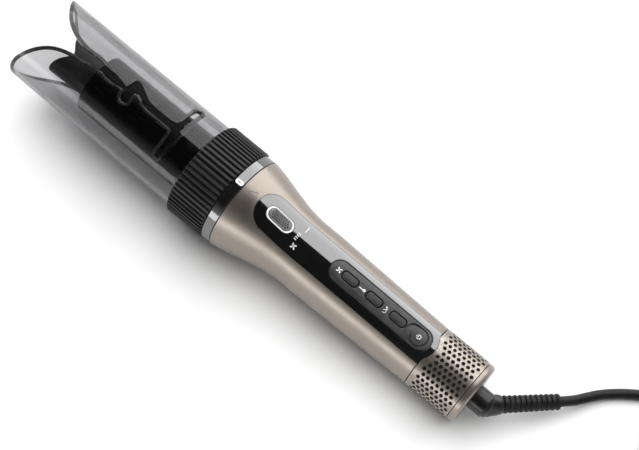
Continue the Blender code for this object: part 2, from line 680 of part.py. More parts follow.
def build_barrel(tool):
    turned("barrel", [(BARREL_FRONT, 18.3), (BARREL_FRONT - 0.7, BARREL_RADIUS),
                      (182.0, BARREL_RADIUS), (182.0, 17.4), (283.0, 17.4), (283.0, 9.6),
                      (BARREL_FRONT, 9.6)], "barrel_black", tool, 40)
    nose = [(COOL_TIP_FRONT, 0), (COOL_TIP_FRONT, COOL_TIP_RADIUS - 1.6),
            (COOL_TIP_FRONT - 0.6, COOL_TIP_RADIUS - 0.6), (COOL_TIP_FRONT - 2.0, COOL_TIP_RADIUS),
            (BARREL_FRONT + GAP, COOL_TIP_RADIUS - 1.0), (BARREL_FRONT + GAP, 9.2), (279.0, 9.2),
            (279.0, 0)]
    tip = turned("cool_tip", nose, "tip_grey", tool, 32)
    notch = plate("tip_notch", [tip_notch_outline()], -40, 40, None, tool)
    combine(tip, notch, 'DIFFERENCE')
    vanes = turned("vane_ring", ring_section(184.5, 196.0, 19.3, 20.4), "satin_black", tool, 36)
    spokes(vanes, 12, (-4.6, -0.5, 20.0), (4.6, 0.5, 24.0), tool, "air_vane",
           math.radians(30), 190.2)


# ---------------------------------------------------------------- cord

def tool_to_world(point):
    turn = Euler((0, -TILT, 0)).to_matrix()
    return turn @ Vector(point) + Vector((AXIS_START, 0, AXIS_HEIGHT))


def relief_end():
    """Centre of the strain relief's free end and the way it points, in the world."""
    reach = RELIEF_BOSS + GAP + RELIEF_LENGTH
    direction = relief_direction()
    end = tool_to_world(Vector((RELIEF_ROOT, 0, 0)) + direction * reach)
    return end, Euler((0, -TILT, 0)).to_matrix() @ direction


def coil_angle(turns):
    return COIL_ENTRY - 2 * math.pi * turns


def coil_point(turns):
    """Centre of the cord after some turns: in over three columns, out again, and in once more."""
    columns = (1, 0, -1, -1, 0, 1, 1, 0, 0)
    index = min(int(turns), len(columns) - 2)
    change = smoothstep((turns - index - 0.8) / 0.2)
    column = columns[index] + (columns[index + 1] - columns[index]) * change
    layer = index // 3 + (change if index % 3 == 2 else 0)
    radius = COIL_MIDDLE + column * COIL_PITCH
    angle = coil_angle(turns)
    return Vector((COIL_CENTRE[0] + radius * math.cos(angle),
                   COIL_CENTRE[1] + radius * math.sin(angle),
                   COIL_FLOOR + CORD_RADIUS + layer * COIL_PITCH))


def coil_top():
    return COIL_FLOOR + 2 * CORD_RADIUS + (COIL_LAYERS - 1) * COIL_PITCH


def plug_height():
    return coil_top() + GAP + PLUG_HALF_HEIGHT


def plug_heading():
    """Way the plug points: along the turn that it lies on."""
    angle = coil_angle(COIL_TURNS) - TAIL_SWEEP
    return Vector((math.sin(angle), -math.cos(angle), 0))


def tail_point(share):
    """The last stretch, which climbs off the coil to the plug's nose."""
    start_angle = coil_angle(COIL_TURNS)
    angle = start_angle - TAIL_SWEEP * share
    radius = COIL_MIDDLE - COIL_PITCH * smoothstep(share * 1.4)
    base = COIL_FLOOR + CORD_RADIUS + (COIL_LAYERS - 1) * COIL_PITCH
    return Vector((COIL_CENTRE[0] + radius * math.cos(angle),
                   COIL_CENTRE[1] + radius * math.sin(angle),
                   base + (plug_height() - base) * smoothstep(share)))


CORD_ROUTE = [
    # from the strain relief down to the table and along it to the coil
    (-199.6, -37.4, 8.3),
    (-204.0, -44.0, 6.0),
    (-209.3, -51.4, 4.0),
    (-217.2, -59.2, 3.15),
    (-225.9, -65.8, 3.1),
    (-237.6, -73.5, 3.1),
    (-249.6, -81.2, 3.4),
]


def build_cord():
    end, direction = relief_end()
    start = end + direction * GAP
    route = [start, *[Vector(p) for p in CORD_ROUTE], coil_point(0), coil_point(0.03)]
    dense = catmull_rom(route)
    outer = COIL_MIDDLE + COIL_PITCH + CORD_RADIUS + 0.2
    centre = Vector(COIL_CENTRE)
    keep_off = outer + CORD_RADIUS + GAP
    lead = [p for p in dense if (p.xy - centre).length > keep_off]
    tube("cord", even_points(lead, 9.0), CORD_RADIUS, "rubber_black")

    inner = COIL_MIDDLE - COIL_PITCH - CORD_RADIUS - 0.2
    top = coil_top()
    turned("cord_coil", [(top, outer), (COIL_FLOOR, outer), (COIL_FLOOR, inner), (top, inner)],
           "rubber_black", None, 40, (*COIL_CENTRE, 0), (0, 0, 0))

    clear_height = top + GAP + CORD_RADIUS
    tail = [tail_point(k / 60) for k in range(61)]
    tail = [p for p in tail if p.z > clear_height]
    nose = tail.pop()
    heading = plug_heading()
    straight_end = [nose - heading * 2.5, nose - heading * GAP]
    tail = [p for p in tail if (p - nose).length > 6]
    tube("cord_tail", even_points(tail, 8.0) + straight_end, CORD_RADIUS, "rubber_black")
    build_tie(inner, outer, top)
    build_plug(nose)


def build_tie(inner, outer, top):
    """A strap loop round the coil's section."""
    thick = 0.5
    window = [(inner - GAP, COIL_FLOOR - GAP), (outer + GAP, COIL_FLOOR - GAP),
              (outer + GAP, top + GAP), (inner - GAP, top + GAP)]
    loop = [(inner - GAP - thick, COIL_FLOOR - GAP - thick),
            (outer + GAP + thick, COIL_FLOOR - GAP - thick),
            (outer + GAP + thick, top + GAP + thick), (inner - GAP - thick, top + GAP + thick)]
    angle = math.radians(15)
    plate("cord_tie", [loop, window], -3, 3, "satin_black", None, (*COIL_CENTRE, 0),
          (math.pi / 2, 0, angle))


def build_plug(nose):
    """Two-pin mains plug lying on the coil, its nose where the cord ends."""
    heading = plug_heading()
    across = Vector((-heading.y, heading.x, 0))
    sections = ((0, 4.6, 4.6), (14, 6.4, 6.2), (21, 10.0, 9.0), (27, 16.0, 12.2),
                (30, PLUG_HALF_WIDTH, PLUG_HALF_HEIGHT),
                (PLUG_LENGTH, PLUG_HALF_WIDTH, PLUG_HALF_HEIGHT))
    sides = 24
    bm = bmesh.new()
    rings = []
    for along, half_width, half_height in sections:
        ring = []
        for k in range(sides):
            a = 2 * math.pi * k / sides
            point = nose + heading * along + across * half_width * math.cos(a)
            point.z += half_height * math.sin(a)
            ring.append(bm.verts.new(point * MM))
        rings.append(ring)
    bm.faces.new(rings[0])
    bm.faces.new(list(reversed(rings[-1])))
    for first, second in zip(rings, rings[1:]):
        for k in range(sides):
            n = (k + 1) % sides
            bm.faces.new((first[k], second[k], second[n], first[n]))
    bmesh.ops.recalc_face_normals(bm, faces=bm.faces)
    mesh = bpy.data.meshes.new("plug_body")
    bm.to_mesh(mesh)
    bm.free()
    new_part("plug_body", mesh, "rubber_black")

    aim = heading.to_track_quat('Z', 'Y').to_euler()
    for number, side in enumerate((-1, 1), start=1):
        root = nose + heading * (PLUG_LENGTH + GAP) + across * side * PIN_SPACING / 2
        section = [(PIN_LENGTH, 0), (PIN_LENGTH, 1.4), (PIN_LENGTH - 1.2, PIN_RADIUS),
                   (0, PIN_RADIUS), (0, 0)]
        turned(f"plug_pin_{number}", section, "brass", None, 16, root, aim)


# ---------------------------------------------------------------- assembly

clear_scene()
PARTS = new_collection("hair_curler")
CUTTERS = new_collection("cutters")

tool_axis = new_empty("tool_axis", (AXIS_START, 0, AXIS_HEIGHT), (0, -TILT, 0))
bezel_middle = (BEZEL_FRONT + BEZEL_REAR) / 2
bezel_plane = new_empty("bezel_plane", (bezel_middle, 0, handle_radius(bezel_middle)),
                        (0, -handle_slope(bezel_middle), 0), tool_axis)
thumb_plane = new_empty("thumb_plane", (THUMB_STATION, 0, handle_radius(THUMB_STATION) + 0.1),
                        (0, -handle_slope(THUMB_STATION), 0), tool_axis)

build_shells(tool_axis)
build_panel(tool_axis, bezel_plane, thumb_plane)
build_bezel(bezel_plane)
build_keys(bezel_plane)
build_thumb_control(thumb_plane)
build_board(tool_axis)
build_blower(tool_axis)
build_heater(tool_axis)
build_rear(tool_axis)
build_swivel(tool_axis)
build_band(tool_axis)
build_collar(tool_axis)
build_tube(tool_axis)
build_barrel(tool_axis)
build_cord()
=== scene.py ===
"""Looks of the automatic hair curler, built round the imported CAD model.

Shapes are drawn in the tool's own frame in millimetres: +X runs from the cord end to the tip, +Z is
the side with the control panel. place() turns and scales them into the row frame, in metres.
"""
import json
import math

import bmesh
import bpy
from mathutils import Matrix, Vector


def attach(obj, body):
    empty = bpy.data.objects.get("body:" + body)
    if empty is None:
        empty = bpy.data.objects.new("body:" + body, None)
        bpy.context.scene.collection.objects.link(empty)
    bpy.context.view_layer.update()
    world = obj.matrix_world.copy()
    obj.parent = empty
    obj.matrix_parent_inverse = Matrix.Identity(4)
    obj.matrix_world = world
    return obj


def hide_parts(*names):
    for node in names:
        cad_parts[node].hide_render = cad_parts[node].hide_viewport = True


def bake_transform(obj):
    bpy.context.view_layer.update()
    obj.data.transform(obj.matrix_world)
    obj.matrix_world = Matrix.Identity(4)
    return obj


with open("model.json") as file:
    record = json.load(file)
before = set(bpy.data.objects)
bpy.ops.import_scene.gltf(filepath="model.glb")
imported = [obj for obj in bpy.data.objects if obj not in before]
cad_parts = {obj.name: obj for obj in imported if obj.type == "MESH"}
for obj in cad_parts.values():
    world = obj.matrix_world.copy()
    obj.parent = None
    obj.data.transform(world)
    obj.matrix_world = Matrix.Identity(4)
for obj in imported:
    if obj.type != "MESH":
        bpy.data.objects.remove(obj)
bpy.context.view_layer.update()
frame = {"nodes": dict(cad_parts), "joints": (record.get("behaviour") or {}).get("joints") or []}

MM = 0.001
GAP = 0.3

# The fan's joint gives station 0 of the tool's axis and the way the axis points
spin = next(joint for joint in frame["joints"] if joint["name"] == "fan_spin")
TILT = math.asin(spin["axis"][2])
TOOL = (Matrix.Translation(Vector(spin["pos_m"])) @ Matrix.Rotation(-TILT, 4, 'Y')
        @ Matrix.Scale(MM, 4))

# Stations and radii, as in the CAD model
SLEEVE_REAR = 4.6
SLEEVE_FRONT = 34.3
SLEEVE_RADIUS = 19.6
SLEEVE_WALL = 1.4
SHELL_REAR = 34.6
SHELL_FRONT = 171.5
SHELL_WALL = 2.0
HANDLE_REAR_RADIUS = 19.55
HANDLE_GRIP_GROWTH = 1.9
GRIP_END = 114.6
FLARE_START = 127.0
FLARE_LENGTH = 54.0
FLARE_HEIGHT = 9.15
BAND_REAR = 171.9
BAND_FRONT = 177.9
BAND_RADIUS = 29.9
COLLAR_REAR = 178.3
COLLAR_FRONT = 204.5
COLLAR_RADIUS = 30.9
COLLAR_RIBS = 60
TUBE_REAR = 184.0
TUBE_FRONT = 331.5
TUBE_RADIUS = 28.45
TUBE_WALL = 2.15
BARREL_FRONT = 285.1
BARREL_RADIUS = 19.0
TIP_FRONT = 315.5
TIP_RADIUS = 13.0
PANEL_FRONT = 160.0
PANEL_HALF_WIDTH = 11.1
PANEL_CORNER = 10.0
PANEL_TAIL = 31.7
PANEL_TAIL_SIDE = 34.9
TAIL_FLAT = 0.12                   # share of the half width over which the tail is straight
PANEL_THICKNESS = 1.6
BEZEL_REAR = 35.2
BEZEL_FRONT = 106.5
BEZEL_MIDDLE = (BEZEL_FRONT + BEZEL_REAR) / 2
BEZEL_LENGTH = BEZEL_FRONT - BEZEL_REAR
BEZEL_WIDTH = 13.3
BEZEL_PROUD = 0.5
BEZEL_BEND = 21.5                  # radius to which the bezel and its keys are bent
THUMB_BEND = 24.0
THUMB_STATION = 144.5
THUMB_OPENING = (19.2, 9.2)
THUMB_RING = (18.6, 8.6)
THUMB_RING_HOLE = (16.0, 6.9)
THUMB_PAD = (15.4, 6.3)
KEYS = {"speed": 92.9, "heat": 75.4, "direction": 58.2}
KEY_OPENING = (11.3, 5.8)
KEY_CAP = (10.3, 4.8)
KEY_TRAVEL = 0.8
KEY_FLOOR = 17.1                   # radius of what lies under the keys
SLIDER_STATION = 43.1
SLIDER_RADIUS = 5.0
SLIDER_TOP = 0.35
SLIDER_TRAVEL = 3.5

# Strain relief and cord
RELIEF_ROOT = -8.5
RELIEF_YAW = math.radians(45.7)
RELIEF_DROOP = math.radians(8.3)
RELIEF_BOSS = 9.0
RELIEF_LENGTH = 34.1
RELIEF_RIBS = 11
CORD_RADIUS = 3.0
COIL_CENTRE = (-287.6, -59.8)
COIL_MIDDLE = 33.0
COIL_PITCH = 6.1
COIL_FLOOR = 0.9
COIL_LAYERS = 3
COIL_ENTRY = math.radians(-49.5)
COIL_TURNS = 7.9
TAIL_SWEEP = math.radians(125.0)
PLUG_HALF_HEIGHT = 13.0
PLUG_LENGTH = 38.0
PIN_LENGTH = 19.0
PIN_RADIUS = 2.4
PIN_SPACING = 19.0


# ---------------------------------------------------------------- camera

def make_camera():
    """The viewing angle: high above the table, a little behind the handle's left side."""
    focal_in_widths = 2.3632           # focal length over picture width
    azimuth, elevation = math.radians(220.48), math.radians(68.69)
    data = bpy.data.cameras.new("camera")
    data.sensor_width = 36.0
    data.lens = 36.0 * focal_in_widths
    data.clip_start = 0.05
    camera = bpy.data.objects.new("camera", data)
    back = Vector((math.sin(azimuth) * math.cos(elevation),
                   -math.cos(azimuth) * math.cos(elevation), math.sin(elevation)))
    camera.location = (-0.2315, 0.2220, 0.8404)
    camera.rotation_mode = 'QUATERNION'
    camera.rotation_quaternion = (-back).to_track_quat('-Z', 'Y')
    bpy.context.scene.collection.objects.link(camera)
    bpy.context.scene.camera = camera


# ---------------------------------------------------------------- curves and outlines

def smoothstep(t):
    t = min(max(t, 0.0), 1.0)
    return t * t * (3 - 2 * t)


def catmull_rom(route, samples):
    """Points on one smooth curve through a route."""
    route = [Vector(p) for p in route]
    padded = [2 * route[0] - route[1], *route, 2 * route[-1] - route[-2]]
    points = []
    for a, b, c, d in zip(padded, padded[1:], padded[2:], padded[3:]):
        for step in range(samples):
            t = step / samples
            points.append(0.5 * (2 * b + (c - a) * t + (2 * a - 5 * b + 4 * c - d) * t * t
                                 + (3 * b - a - 3 * c + d) * t ** 3))
    points.append(route[-1])
    return points


def neighbours(loop):
    """Each point of a closed loop between the ones before and after it."""
    return zip(loop[-1:] + loop[:-1], loop, loop[1:] + loop[:1])


def soften(loop, radius, segments=4):
    """A closed loop with each corner turned into a small curve."""
    loop = [Vector(p) for p in loop]
    result = []
    for before, corner, after in neighbours(loop):
        if abs((corner - before).angle_signed(after - corner, 0.0)) < math.radians(12):
            result.append(corner)
            continue
        reach_in = min(radius, (before - corner).length * 0.45)
        reach_out = min(radius, (after - corner).length * 0.45)
        start = corner + (before - corner).normalized() * reach_in
        end = corner + (after - corner).normalized() * reach_out
        for step in range(segments + 1):
            t = step / segments
            result.append(start.lerp(corner, t).lerp(corner.lerp(end, t), t))
    return result


def spread(loop, spacing):
    """Add points along a closed loop, so that none of its sides is longer than spacing."""
    result = []
    for a, b in zip(loop, loop[1:] + loop[:1]):
        a, b = Vector(a), Vector(b)
        count = max(1, math.ceil((b - a).length / spacing))
        result += [a.lerp(b, k / count) for k in range(count)]
    return result


def polar(radius, angle, centre=(0, 0)):
    return Vector((centre[0] + radius * math.cos(angle), centre[1] + radius * math.sin(angle)))


def round_axis(station, radius, angle):
    """A point beside the tool's axis, turned from the top towards +Y."""
    return Vector((station, radius * math.sin(angle), radius * math.cos(angle)))


def full_turn(count):
    return [2 * math.pi * k / count for k in range(count)]


def circle(radius, count, centre=(0, 0)):
    return [polar(radius, a, centre) for a in full_turn(count)]


def thinned(points, spacing):
    """Leave out points that lie closer together than a spacing."""
    kept = [points[0]]
    for point in points[1:]:
        if (point - kept[-1]).length >= spacing:
            kept.append(point)
    return kept


def stadium(length, width, centre=(0, 0), radius=None, segments=10):
    """A rectangle with round corners; half-round ends if no radius is given."""
    radius = width / 2 if radius is None else radius
    loop = []
    for quarter, (sx, sy) in enumerate(((1, 1), (-1, 1), (-1, -1), (1, -1))):
        corner = (centre[0] + sx * (length / 2 - radius), centre[1] + sy * (width / 2 - radius))
        for step in range(segments + 1):
            point = polar(radius, math.pi / 2 * (quarter + step / segments), corner)
            if not loop or (point - loop[-1]).length > 0.01:
                loop.append(point)
    if (loop[0] - loop[-1]).length < 0.01:
        loop.pop()
    return loop


def handle_radius(station):
    grip = (station - SHELL_REAR) / (GRIP_END - SHELL_REAR)
    base = HANDLE_REAR_RADIUS + HANDLE_GRIP_GROWTH * min(max(grip, 0.0), 1.0)
    return base + FLARE_HEIGHT * smoothstep((station - FLARE_START) / FLARE_LENGTH)


def handle_slope(station):
    return math.atan(handle_radius(station + 0.5) - handle_radius(station - 0.5))


def flat_slope(station):
    return 0.0


def panel_outline(offset, segments=16):
    """Plan of the control panel: round front corners and a wavy rear end."""
    half = PANEL_HALF_WIDTH + offset
    corner = PANEL_CORNER + offset
    centre = (PANEL_FRONT + offset - corner, half - corner)
    front = [polar(corner, math.pi / 2 * step / segments, centre) for step in range(segments + 1)]
    sides = [half * (1 - step / segments) for step in range(2 * segments + 1)]
    tail = [Vector((tail_station(y, offset), y)) for y in sides]
    return front + tail + [Vector((x, -y)) for x, y in reversed(front)]


def tail_station(y, offset=0.0):
    """Rear edge of the panel at a distance from its centre line: a soft wave."""
    share = min(abs(y) / PANEL_HALF_WIDTH, 1.0)
    depth = PANEL_TAIL_SIDE - PANEL_TAIL
    return PANEL_TAIL - offset + depth * smoothstep((share - TAIL_FLAT) / (1 - TAIL_FLAT))


# ---------------------------------------------------------------- mesh makers

def place(bm, matrix=None):
    bm.transform(TOOL if matrix is None else matrix)
    return bm


def finish_mesh(name, bm, sharp=35):
    mesh = bpy.data.meshes.new(name)
    bmesh.ops.recalc_face_normals(bm, faces=bm.faces)
    bm.to_mesh(mesh)
    bm.free()
    mesh.shade_smooth()
    mesh.set_sharp_from_angle(angle=math.radians(sharp))
    return mesh


def piece(name, mesh, look, body, replaces=()):
    """A finished piece of the object, riding on a CAD body."""
    obj = bpy.data.objects.new(name, mesh)
    bpy.context.scene.collection.objects.link(obj)
    mesh.materials.append(LOOKS[look])
    if body:
        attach(obj, body)
    if replaces:
        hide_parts(*replaces)
    return obj


def solid(name, bm, look, body, replaces=(), sharp=35, slope=None, matrix=None):
    """A piece made from a bmesh; a slope gives it the normals of a turned surface."""
    mesh = finish_mesh(name, place(bm, matrix), sharp)
    if slope:
        true_normals(mesh, slope)
    return piece(name, mesh, look, body, replaces)


def bridge(bm, rings, closed=False):
    """Faces from each ring of vertices to the next, and from the last to the first if closed."""
    for ring, after in zip(rings, rings[1:] + rings[:1] if closed else rings[1:]):
        for k in range(len(ring)):
            n = (k + 1) % len(ring)
            bm.faces.new((ring[k], ring[n], after[n], after[k]))


def cap_ends(bm, rings):
    bm.faces.new(list(reversed(rings[0])))
    bm.faces.new(rings[-1])


def slices(bm, spacing, first, last, across=(0, 1, 0)):
    """Cut a mesh into strips, at multiples of a spacing."""
    for k in range(first, last + 1):
        everything = bm.verts[:] + bm.edges[:] + bm.faces[:]
        bmesh.ops.bisect_plane(bm, geom=everything, plane_co=Vector(across) * k * spacing,
                               plane_no=across, dist=1e-4)


def lathe(section, steps=96, rounding=0.0, segments=4):
    """Turn a closed section of (station, radius) about the tool's axis."""
    if rounding:
        section = soften(section, rounding, segments)
    bm = bmesh.new()
    rings = [[bm.verts.new(round_axis(x, r, angle)) for x, r in section]
             for angle in full_turn(steps)]
    count = len(section)
    for ring, after in zip(rings, rings[1:] + rings[:1]):
        for i in range(count):
            j = (i + 1) % count
            if section[i][1] < 1e-6 and section[j][1] < 1e-6:
                continue
            bm.faces.new((ring[i], ring[j], after[j], after[i]))
    bmesh.ops.remove_doubles(bm, verts=bm.verts, dist=0.0005)
    bmesh.ops.dissolve_degenerate(bm, dist=0.0002, edges=bm.edges)
    return bm


def filled(loops):
    """A flat mesh bounded by the first loop, with the others as holes."""
    curve = bpy.data.curves.new("outline", 'CURVE')
    curve.dimensions = '2D'
    curve.fill_mode = 'BOTH'
    for loop in loops:
        spline = curve.splines.new('POLY')
        spline.points.add(len(loop) - 1)
        for point, (x, y) in zip(spline.points, loop):
            point.co = (x, y, 0, 1)
        spline.use_cyclic_u = True
    carrier = bpy.data.objects.new("carrier", curve)
    bpy.context.scene.collection.objects.link(carrier)
    graph = bpy.context.evaluated_depsgraph_get()
    mesh = bpy.data.meshes.new_from_object(carrier.evaluated_get(graph))
    bpy.data.objects.remove(carrier)
    bm = bmesh.new()
    bm.from_mesh(mesh)
    bpy.data.meshes.remove(mesh)
    bmesh.ops.remove_doubles(bm, verts=bm.verts, dist=0.0005)
    for face in bm.faces:
        if face.normal.z < 0:
            face.normal_flip()
    return bm


def wrapped(loops, radius, wall, turn_step, lip, unit):
    """A sheet cut to flat loops of (station, arc), wrapped round the axis and given thickness.

    Arc lengths are measured at the radius unit, and run towards +Y from the top. Its edges are
    rounded by a bead that stands out by lip.
    """
    bm = filled(loops)
    sides = [v.co.y for v in bm.verts]
    step = unit * turn_step
    slices(bm, step, math.ceil(min(sides) / step), math.floor(max(sides) / step))
    for vert in bm.verts:
        vert.co = round_axis(vert.co.x, radius, vert.co.y / unit)
    bmesh.ops.remove_doubles(bm, verts=bm.verts, dist=0.0005)
    outward = sum(face.normal.dot(Vector((0, *face.calc_center_median().yz)))
                  for face in bm.faces)
    if outward < 0:
        bmesh.ops.reverse_faces(bm, faces=bm.faces)
    thicken(bm, wall, lip)
    return bm


def thicken(bm, wall, lip):
    """Give a wrapped sheet an inner skin and a rim, bulging by lip beyond its outline."""
    sheet = list(bm.faces)
    rim = [edge for edge in bm.edges if edge.is_boundary]
    corners = [(edge.link_loops[0].vert, edge.link_loops[0].link_loop_next.vert) for edge in rim]

    def radial(vert):
        return Vector((0, vert.co.y, vert.co.z)).normalized()

    out = {}
    for a, b in corners:
        side = (b.co - a.co).cross(radial(a) + radial(b)).normalized()
        out[a] = out.get(a, Vector()) + side
        out[b] = out.get(b, Vector()) + side
    layers = [{v: v for v in bm.verts}]
    if lip:
        for depth in (lip, wall - lip):
            layers.append({v: bm.verts.new(v.co - radial(v) * depth + out[v].normalized() * lip)
                           for v in out})
    inner = {v: bm.verts.new(v.co - radial(v) * wall) for v in layers[0]}
    layers.append(inner)
    for face in sheet:
        bm.faces.new([inner[v] for v in reversed(face.verts)])
    for upper, lower in zip(layers, layers[1:]):
        for a, b in corners:
            bm.faces.new((upper[b], upper[a], lower[a], lower[b]))


def true_normals(mesh, slope):
    """Faces that follow a turned surface take that surface's own normals, so gloss stays clean."""
    back = TOOL.inverted()
    turn = Matrix.Rotation(-TILT, 3, 'Y')
    corner_normals = [Vector(c.vector) for c in mesh.corner_normals]
    for polygon in mesh.polygons:
        for index in polygon.loop_indices:
            local = back @ mesh.vertices[mesh.loops[index].vertex_index].co
            radial = Vector((0, local.y, local.z)).normalized()
            lean = math.tan(slope(local.x))
            normal = turn @ Vector((-lean, radial.y, radial.z)).normalized()
            facing = polygon.normal.dot(normal)
            if abs(facing) > 0.985:
                corner_normals[index] = normal if facing > 0 else -normal
    mesh.normals_split_custom_set(corner_normals)


def inset(loop, distance, hole):
    """Move a closed loop into the material beside it."""
    area = sum(a.x * b.y - b.x * a.y for a, b in zip(loop, loop[1:] + loop[:1]))
    side = 1.0 if (area > 0) != hole else -1.0
    result = []
    for before, corner, after in neighbours(loop):
        first = (corner - before).normalized()
        second = (after - corner).normalized()
        along = (first + second).normalized()
        reach = distance / max(along.dot(first), 0.5)
        result.append(corner + Vector((-along.y, along.x)) * side * reach)
    return result


def slab(loops, low, high, matrix, rounding=0.3, segments=3, bend=0.0):
    """A plate from low to high with its edges rounded; loops after the first are holes.

    A bend curves it down on both sides, to that radius about its X axis.
    """
    turns = [math.pi / 2 * k / segments for k in range(segments + 1)]
    levels = [(low + rounding * (1 - math.cos(a)), rounding * (1 - math.sin(a))) for a in turns]
    levels += [(low + high - z, depth) for z, depth in reversed(levels)]
    bm = bmesh.new()
    caps = []
    for z, flip in ((low, True), (high, False)):
        cap = filled([inset([Vector(p) for p in loop], rounding, index > 0)
                      for index, loop in enumerate(loops)])
        for vert in cap.verts:
            vert.co.z = z
        if flip:
            bmesh.ops.reverse_faces(cap, faces=cap.faces)
        caps.append(cap)
    merge(bm, *caps)
    for index, loop in enumerate(loops):
        loop = [Vector(p) for p in loop]
        rings = []
        for z, depth in levels:
            edge = inset(loop, depth, index > 0) if depth else loop
            rings.append([bm.verts.new((x, y, z)) for x, y in edge])
        bridge(bm, rings)
    bmesh.ops.remove_doubles(bm, verts=bm.verts, dist=0.0006)
    bmesh.ops.recalc_face_normals(bm, faces=bm.faces)
    if bend:
        bend_down(bm, bend)
    bm.transform(matrix)
    return bm


def bend_down(bm, radius, step=0.8):
    """Curve a plate down on both sides of its X axis."""
    reach = max(abs(vert.co.y) for vert in bm.verts)
    slices(bm, step, -int(reach / step), int(reach / step))
    for vert in bm.verts:
        vert.co.z -= radius - math.sqrt(radius ** 2 - vert.co.y ** 2)


def merge(target, *others):
    """Put further closed bodies into one bmesh."""
    for other in others:
        mesh = bpy.data.meshes.new("merged")
        other.to_mesh(mesh)
        other.free()
        target.from_mesh(mesh)
        bpy.data.meshes.remove(mesh)
    return target


def carved(bm, *steps):
    """A solid after exact boolean steps, each an operation and a closed shape."""
    target = bpy.data.objects.new("carved", finish_mesh("carved", bm))
    bpy.context.scene.collection.objects.link(target)
    helpers = []
    for operation, shape in steps:
        helper = bpy.data.objects.new("helper", finish_mesh("helper", shape))
        bpy.context.scene.collection.objects.link(helper)
        modifier = target.modifiers.new("step", 'BOOLEAN')
        modifier.operation = operation
        modifier.solver = 'EXACT'
        modifier.object = helper
        helpers.append(helper)
    graph = bpy.context.evaluated_depsgraph_get()
    mesh = bpy.data.meshes.new_from_object(target.evaluated_get(graph))
    for obj in [target, *helpers]:
        bpy.data.objects.remove(obj)
    result = bmesh.new()
    result.from_mesh(mesh)
    bpy.data.meshes.remove(mesh)
    return result


def prism(loop, low, high):
    """A closed cutter: a loop in plan, from low to high."""
    bm = bmesh.new()
    bottom = [bm.verts.new((x, y, low)) for x, y in loop]
    top = [bm.verts.new((x, y, high)) for x, y in loop]
    cap_ends(bm, [bottom, top])
    bridge(bm, [bottom, top])
    bmesh.ops.triangulate(bm, faces=[f for f in bm.faces if len(f.verts) > 4])
    return bm


def swept(points, radius, sides):
    """A tube of rings along a path, turned as little as possible from ring to ring."""
    bm = bmesh.new()
    normal = None
    rings = []
    for index, point in enumerate(points):
        before = points[max(index - 1, 0)]
        after = points[min(index + 1, len(points) - 1)]
        along = (after - before).normalized()
        if normal is None:
            normal = along.cross(Vector((0, 0, 1))).normalized()
        normal = (normal - along * normal.dot(along)).normalized()
        across = along.cross(normal)
        rings.append([bm.verts.new(point + (normal * math.cos(a) + across * math.sin(a)) * radius)
                      for a in full_turn(sides)])
    bridge(bm, rings)
    cap_ends(bm, rings)
    return bm


def frame_on_handle(station, raised=0.0):
    """Flat frame that touches the handle's top line at a station."""
    return (Matrix.Translation((station, 0, handle_radius(station) + raised))
            @ Matrix.Rotation(-handle_slope(station), 4, 'Y'))


BEZEL_FRAME = frame_on_handle(BEZEL_MIDDLE)
THUMB_FRAME = frame_on_handle(THUMB_STATION, 0.1)


# ---------------------------------------------------------------- materials

